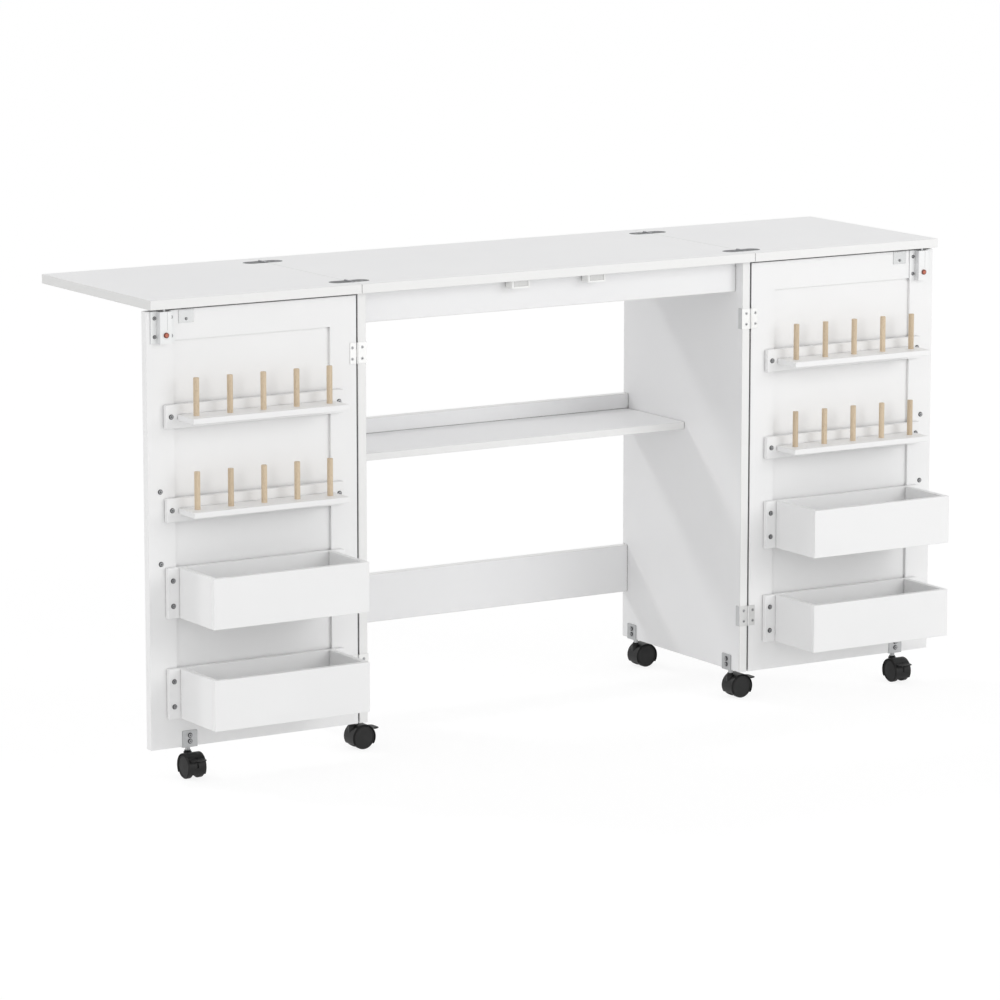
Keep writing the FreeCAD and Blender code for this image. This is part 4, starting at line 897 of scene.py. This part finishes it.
def buttonAbs(node):
    # orange-red ABS with its rim drawn darker as painted shade, so the small knob reads as a ring
    # and a cap
    material, tree, shader, places = newMaterial("orange-red ABS, " + node.replace("_", " "))
    lowest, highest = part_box(node)
    middle = (lowest + highest) / 2
    radius = (highest.x - lowest.x) / 2
    apart = addNode(tree, "ShaderNodeVectorMath", {"operation": "SUBTRACT", 1: middle}, {
        0: places.outputs["Object"]})
    across = addNode(tree, "ShaderNodeVectorMath", {
        "operation": "MULTIPLY", 1: (1.0, 0.0, 1.0)}, {0: apart.outputs[0]})
    reach = addNode(tree, "ShaderNodeVectorMath", {"operation": "LENGTH"}, {0: across.outputs[0]})
    capShare = buttonLook["capShare"]
    rimShade = addNode(tree, "ShaderNodeMapRange", {
        "From Min": radius * capShare, "From Max": radius * (capShare + buttonLook["rimBlend"])}, {
        "Value": reach.outputs["Value"]})
    flow = addNode(tree, "ShaderNodeTexNoise", {
        "Scale": perMetre(buttonLook["flow"]), "Detail": 2.0}, {
        "Vector": places.outputs["Object"]})
    cap = addNode(tree, "ShaderNodeMix", {
        "data_type": "RGBA",
        6: hexColour(buttonLook["cap"]), 7: hexColour(buttonLook["capShade"])}, {
        0: flow.outputs["Fac"]})
    # painted shade: the rim drawn darker than the cap
    colour = addNode(tree, "ShaderNodeMix", {
        "data_type": "RGBA", 7: hexColour(buttonLook["rimShade"])}, {
        0: rimShade.outputs[0], 6: cap.outputs[2]})
    tree.links.new(colour.outputs[2], shader.inputs["Base Color"])
    smoothest, roughest = buttonLook["roughness"]
    gloss = addNode(tree, "ShaderNodeMapRange", {"To Min": smoothest, "To Max": roughest}, {
        "Value": flow.outputs["Fac"]})
    tree.links.new(gloss.outputs[0], shader.inputs["Roughness"])
    turned = addNode(tree, "ShaderNodeBump", {
        "Strength": buttonLook["flowStrength"], "Distance": buttonLook["flowHeight"] / 1000}, {
        "Height": flow.outputs["Fac"]})
    tree.links.new(turned.outputs[0], shader.inputs["Normal"])
    return material


plastic = {key: mouldedPlastic(**look) for key, look in plastics.items()}
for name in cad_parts:
    if name.endswith("_caster_hood"):
        dress(name, plastic["doorHood" if "door" in name else "panelHood"])
    elif name.endswith("_caster_wheels"):
        dress(name, plastic["doorWheelShaded" if "door" in name else "panelWheelLit"])
    elif name.endswith("_brake_lever"):
        dress(name, plastic["lever"])
for side in ("left", "right"):
    dress(side + "_latch_housing", powderEnamel(side + "_latch_housing"))
    dress(side + "_latch_button", buttonAbs(side + "_latch_button"))
dress("catch_housings", plastic["catchCase"])
print("plastics finished")


# screws with a cross recess

screwLook = {
    "sides": 28,
    # shares of the head's radius
    "recessLength": 0.5,
    "recessWidth": 0.14,
    "domeFlat": 0.7,
    "flushFlat": 0.94,
    "shank": 0.42,
    "tip": 0.06,
    "tipLength": 0.4,
    # outline of a head, from below: share of the radius, and how far down as a share of the height
    "flushRim": ((1.0, 0.18), (1.0, 0.04)),
    "panRim": ((0.97, 1.0), (1.0, 0.86), (0.99, 0.6), (0.93, 0.3), (0.84, 0.1)),
    "recessDepth": 0.85,    # of the head's height
    "recessTaper": 0.225,   # how much narrower its foot is than its mouth
    "deepest": 0.0011,      # m
    "largeFrom": 0.0035,    # m, radius from which a head is a large one
    "largeHeight": 0.0016,  # m
    "smallHeight": 0.001,   # m
    "flushFrom": 0.95,      # a pin whose end keeps this share of its radius has a flush head
    "endReach": 0.00002,    # m, points this near an end belong to it
}


def crossOutline(radius, width):
    # twelve corners of a plus sign
    return [
        (radius, -width), (radius, width), (width, width), (width, radius), (-width, radius),
        (-width, width), (-radius, width), (-radius, -width), (-width, -width), (-width, -radius),
        (width, -radius), (width, -width),
    ]


def addScrew(shape, place, outward, radius, height, flush, length):
    # a pan or flush head with its cross recess at a random turn, and a plain shank behind it
    sides = screwLook["sides"]
    turn = random.uniform(0, math.tau)
    turnCos, turnSin = math.cos(turn), math.sin(turn)
    shank = radius * screwLook["shank"]
    made = []

    def ring(ringRadius, level):
        points = []
        for k in range(sides):
            angle = math.tau * k / sides
            spot = (ringRadius * math.cos(angle), ringRadius * math.sin(angle), level)
            points.append(shape.verts.new(spot))
        made.extend(points)
        return points

    def cross(scale, level):
        points = []
        spread = radius * screwLook["recessLength"] * scale
        width = radius * screwLook["recessWidth"] * scale
        for x, y in crossOutline(spread, width):
            spot = (x * turnCos - y * turnSin, x * turnSin + y * turnCos, level)
            points.append(shape.verts.new(spot))
        made.extend(points)
        return points

    def join(low, high, slot):
        count = len(low)
        for k in range(count):
            after = (k + 1) % count
            face = shape.faces.new((low[k], low[after], high[after], high[k]))
            face.material_index = slot

    def edgesOf(loop):
        count = len(loop)
        return [shape.edges.get((loop[k], loop[(k + 1) % count])) for k in range(count)]

    # the head's side, and the shank behind it, in the second material, which is painted shade
    outline = screwLook["flushRim"] if flush else screwLook["panRim"]
    levels = [ring(shank, -height)]
    levels += [ring(radius * wide, -height * down) for wide, down in outline]
    crown = ring(radius * (screwLook["flushFlat"] if flush else screwLook["domeFlat"]), 0)
    levels.append(crown)
    for low, high in zip(levels, levels[1:]):
        join(low, high, 1)
    tailStart = ring(shank, -length + radius * screwLook["tipLength"])
    tailEnd = ring(radius * screwLook["tip"], -length)
    join(tailStart, levels[0], 1)
    join(tailEnd, tailStart, 1)
    shape.faces.new(tailEnd).material_index = 1

    # the recess, and the flat face round its mouth; the recess floor takes the second material,
    # painted shade
    depth = min(height * screwLook["recessDepth"], screwLook["deepest"])
    mouth = cross(1.0, 0)
    foot = cross(1.0 - screwLook["recessTaper"], -depth)
    join(mouth, foot, 0)
    recessFloor = shape.faces.new(foot)
    recessFloor.material_index = 1
    filled = bmesh.ops.triangle_fill(
        shape, use_beauty=True, edges=edgesOf(crown) + edgesOf(mouth))
    for item in filled["geom"]:
        if isinstance(item, bmesh.types.BMFace):
            item.material_index = 0
    bmesh.ops.triangulate(shape, faces=[recessFloor])
    aim = outward.to_track_quat("Z", "Y").to_matrix().to_4x4()
    bmesh.ops.transform(shape, matrix=Matrix.Translation(place) @ aim, verts=made)


def screwSeats(solids):
    # for each screw: the middle of its outer end, the way it points, and the sizes of its head
    seats = []
    for points in solids:
        low = Vector([min(p[k] for p in points) for k in range(3)])
        high = Vector([max(p[k] for p in points) for k in range(3)])
        size = high - low
        middle = (low + high) / 2
        axis = max(range(3), key=lambda k: size[k])
        across = [k for k in range(3) if k != axis]
        # the wider end is the head
        ends = {}
        for sign, level in ((1, high[axis]), (-1, low[axis])):
            near = [p for p in points if abs(p[axis] - level) < screwLook["endReach"]]
            ends[sign] = max(math.hypot(*(p[k] - middle[k] for k in across)) for p in near)
        sign = 1 if ends[1] > ends[-1] else -1
        outward = Vector([sign if k == axis else 0 for k in range(3)])
        place = middle.copy()
        place[axis] = high[axis] if sign > 0 else low[axis]
        radius = size[across[0]] / 2
        flush = ends[sign] > screwLook["flushFrom"] * radius
        large = radius > screwLook["largeFrom"]
        height = screwLook["largeHeight" if large else "smallHeight"]
        seats.append((place, outward, radius, height, flush, size[axis]))
    return seats


def makeScrews(name, node, body):
    shape = bmesh.new()
    seats = screwSeats(solidsOf(node))
    for seat in seats:
        addScrew(shape, *seat)
    makePiece(name, shape, [steel["screwHead"], steel["screwShade"]], body, [node])
    print("%s: %d screws" % (name, len(seats)))


makeScrews("left_door_cross_screws", "left_door_screws", "left_door")
makeScrews("right_door_cross_screws", "right_door_screws", "right_door")
makeScrews("carcass_cross_screws", "carcass_screws", "carcass")


# fold-over hinges

flapLook = {
    "screwAcross": 0.006,    # m; a loose solid of a hinge node narrower than this is a screw
    "mergeReach": 0.000001,  # m, corners this near are one corner
    "flatUnder": 1,          # degrees; facets that turn less than this are one face
    "edgeRound": 0.00025,    # m, tumbled edges
    "edgeOver": 50,          # degrees; only edges that turn more than this are tumbled
    "edgeSegments": 2,
}


def isPin(points):
    spans = [max(p[k] for p in points) - min(p[k] for p in points) for k in range(2)]
    return max(spans) < flapLook["screwAcross"]


def removePins(shape):
    # takes the plain pins out of the hinge's mesh; they go all at once and in the mesh's own order,
    # so the mesh comes out the same each run
    seen = set()
    pins = []
    for start in shape.verts:
        if start in seen:
            continue
        seen.add(start)
        island = [start]
        for vertex in island:
            for edge in vertex.link_edges:
                other = edge.other_vert(vertex)
                if other not in seen:
                    seen.add(other)
                    island.append(other)
        if isPin([vertex.co for vertex in island]):
            pins += island
    bmesh.ops.delete(shape, geom=pins, context="VERTS")


def makeFlapPlates(name, node, body):
    # the stamped plates with tumbled edges, and a cross-recessed screw for each plain pin
    shape = bmesh.new()
    shape.from_mesh(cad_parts[node].data)
    bmesh.ops.remove_doubles(shape, verts=shape.verts, dist=flapLook["mergeReach"])
    removePins(shape)
    bmesh.ops.dissolve_limit(
        shape, angle_limit=math.radians(flapLook["flatUnder"]),
        verts=shape.verts, edges=shape.edges)
    for seat in screwSeats([points for points in solidsOf(node) if isPin(points)]):
        addScrew(shape, *seat)
    materials = [steel["flapHinge"], steel["screwShade"]]
    piece = makePiece(name, shape, materials, body, [node])
    softened = piece.modifiers.new("tumbled edges", "BEVEL")
    softened.width = flapLook["edgeRound"]
    softened.segments = flapLook["edgeSegments"]
    softened.limit_method = "ANGLE"
    softened.angle_limit = math.radians(flapLook["edgeOver"])


makeFlapPlates("left_flap_hinges", "left_flap_plates", "left_leaf")
makeFlapPlates("right_flap_hinges", "right_flap_plates", "right_leaf")
dress("centre_flap_plates", steel["flapHinge"])
print("fold-over hinges made")

print("all pieces made")
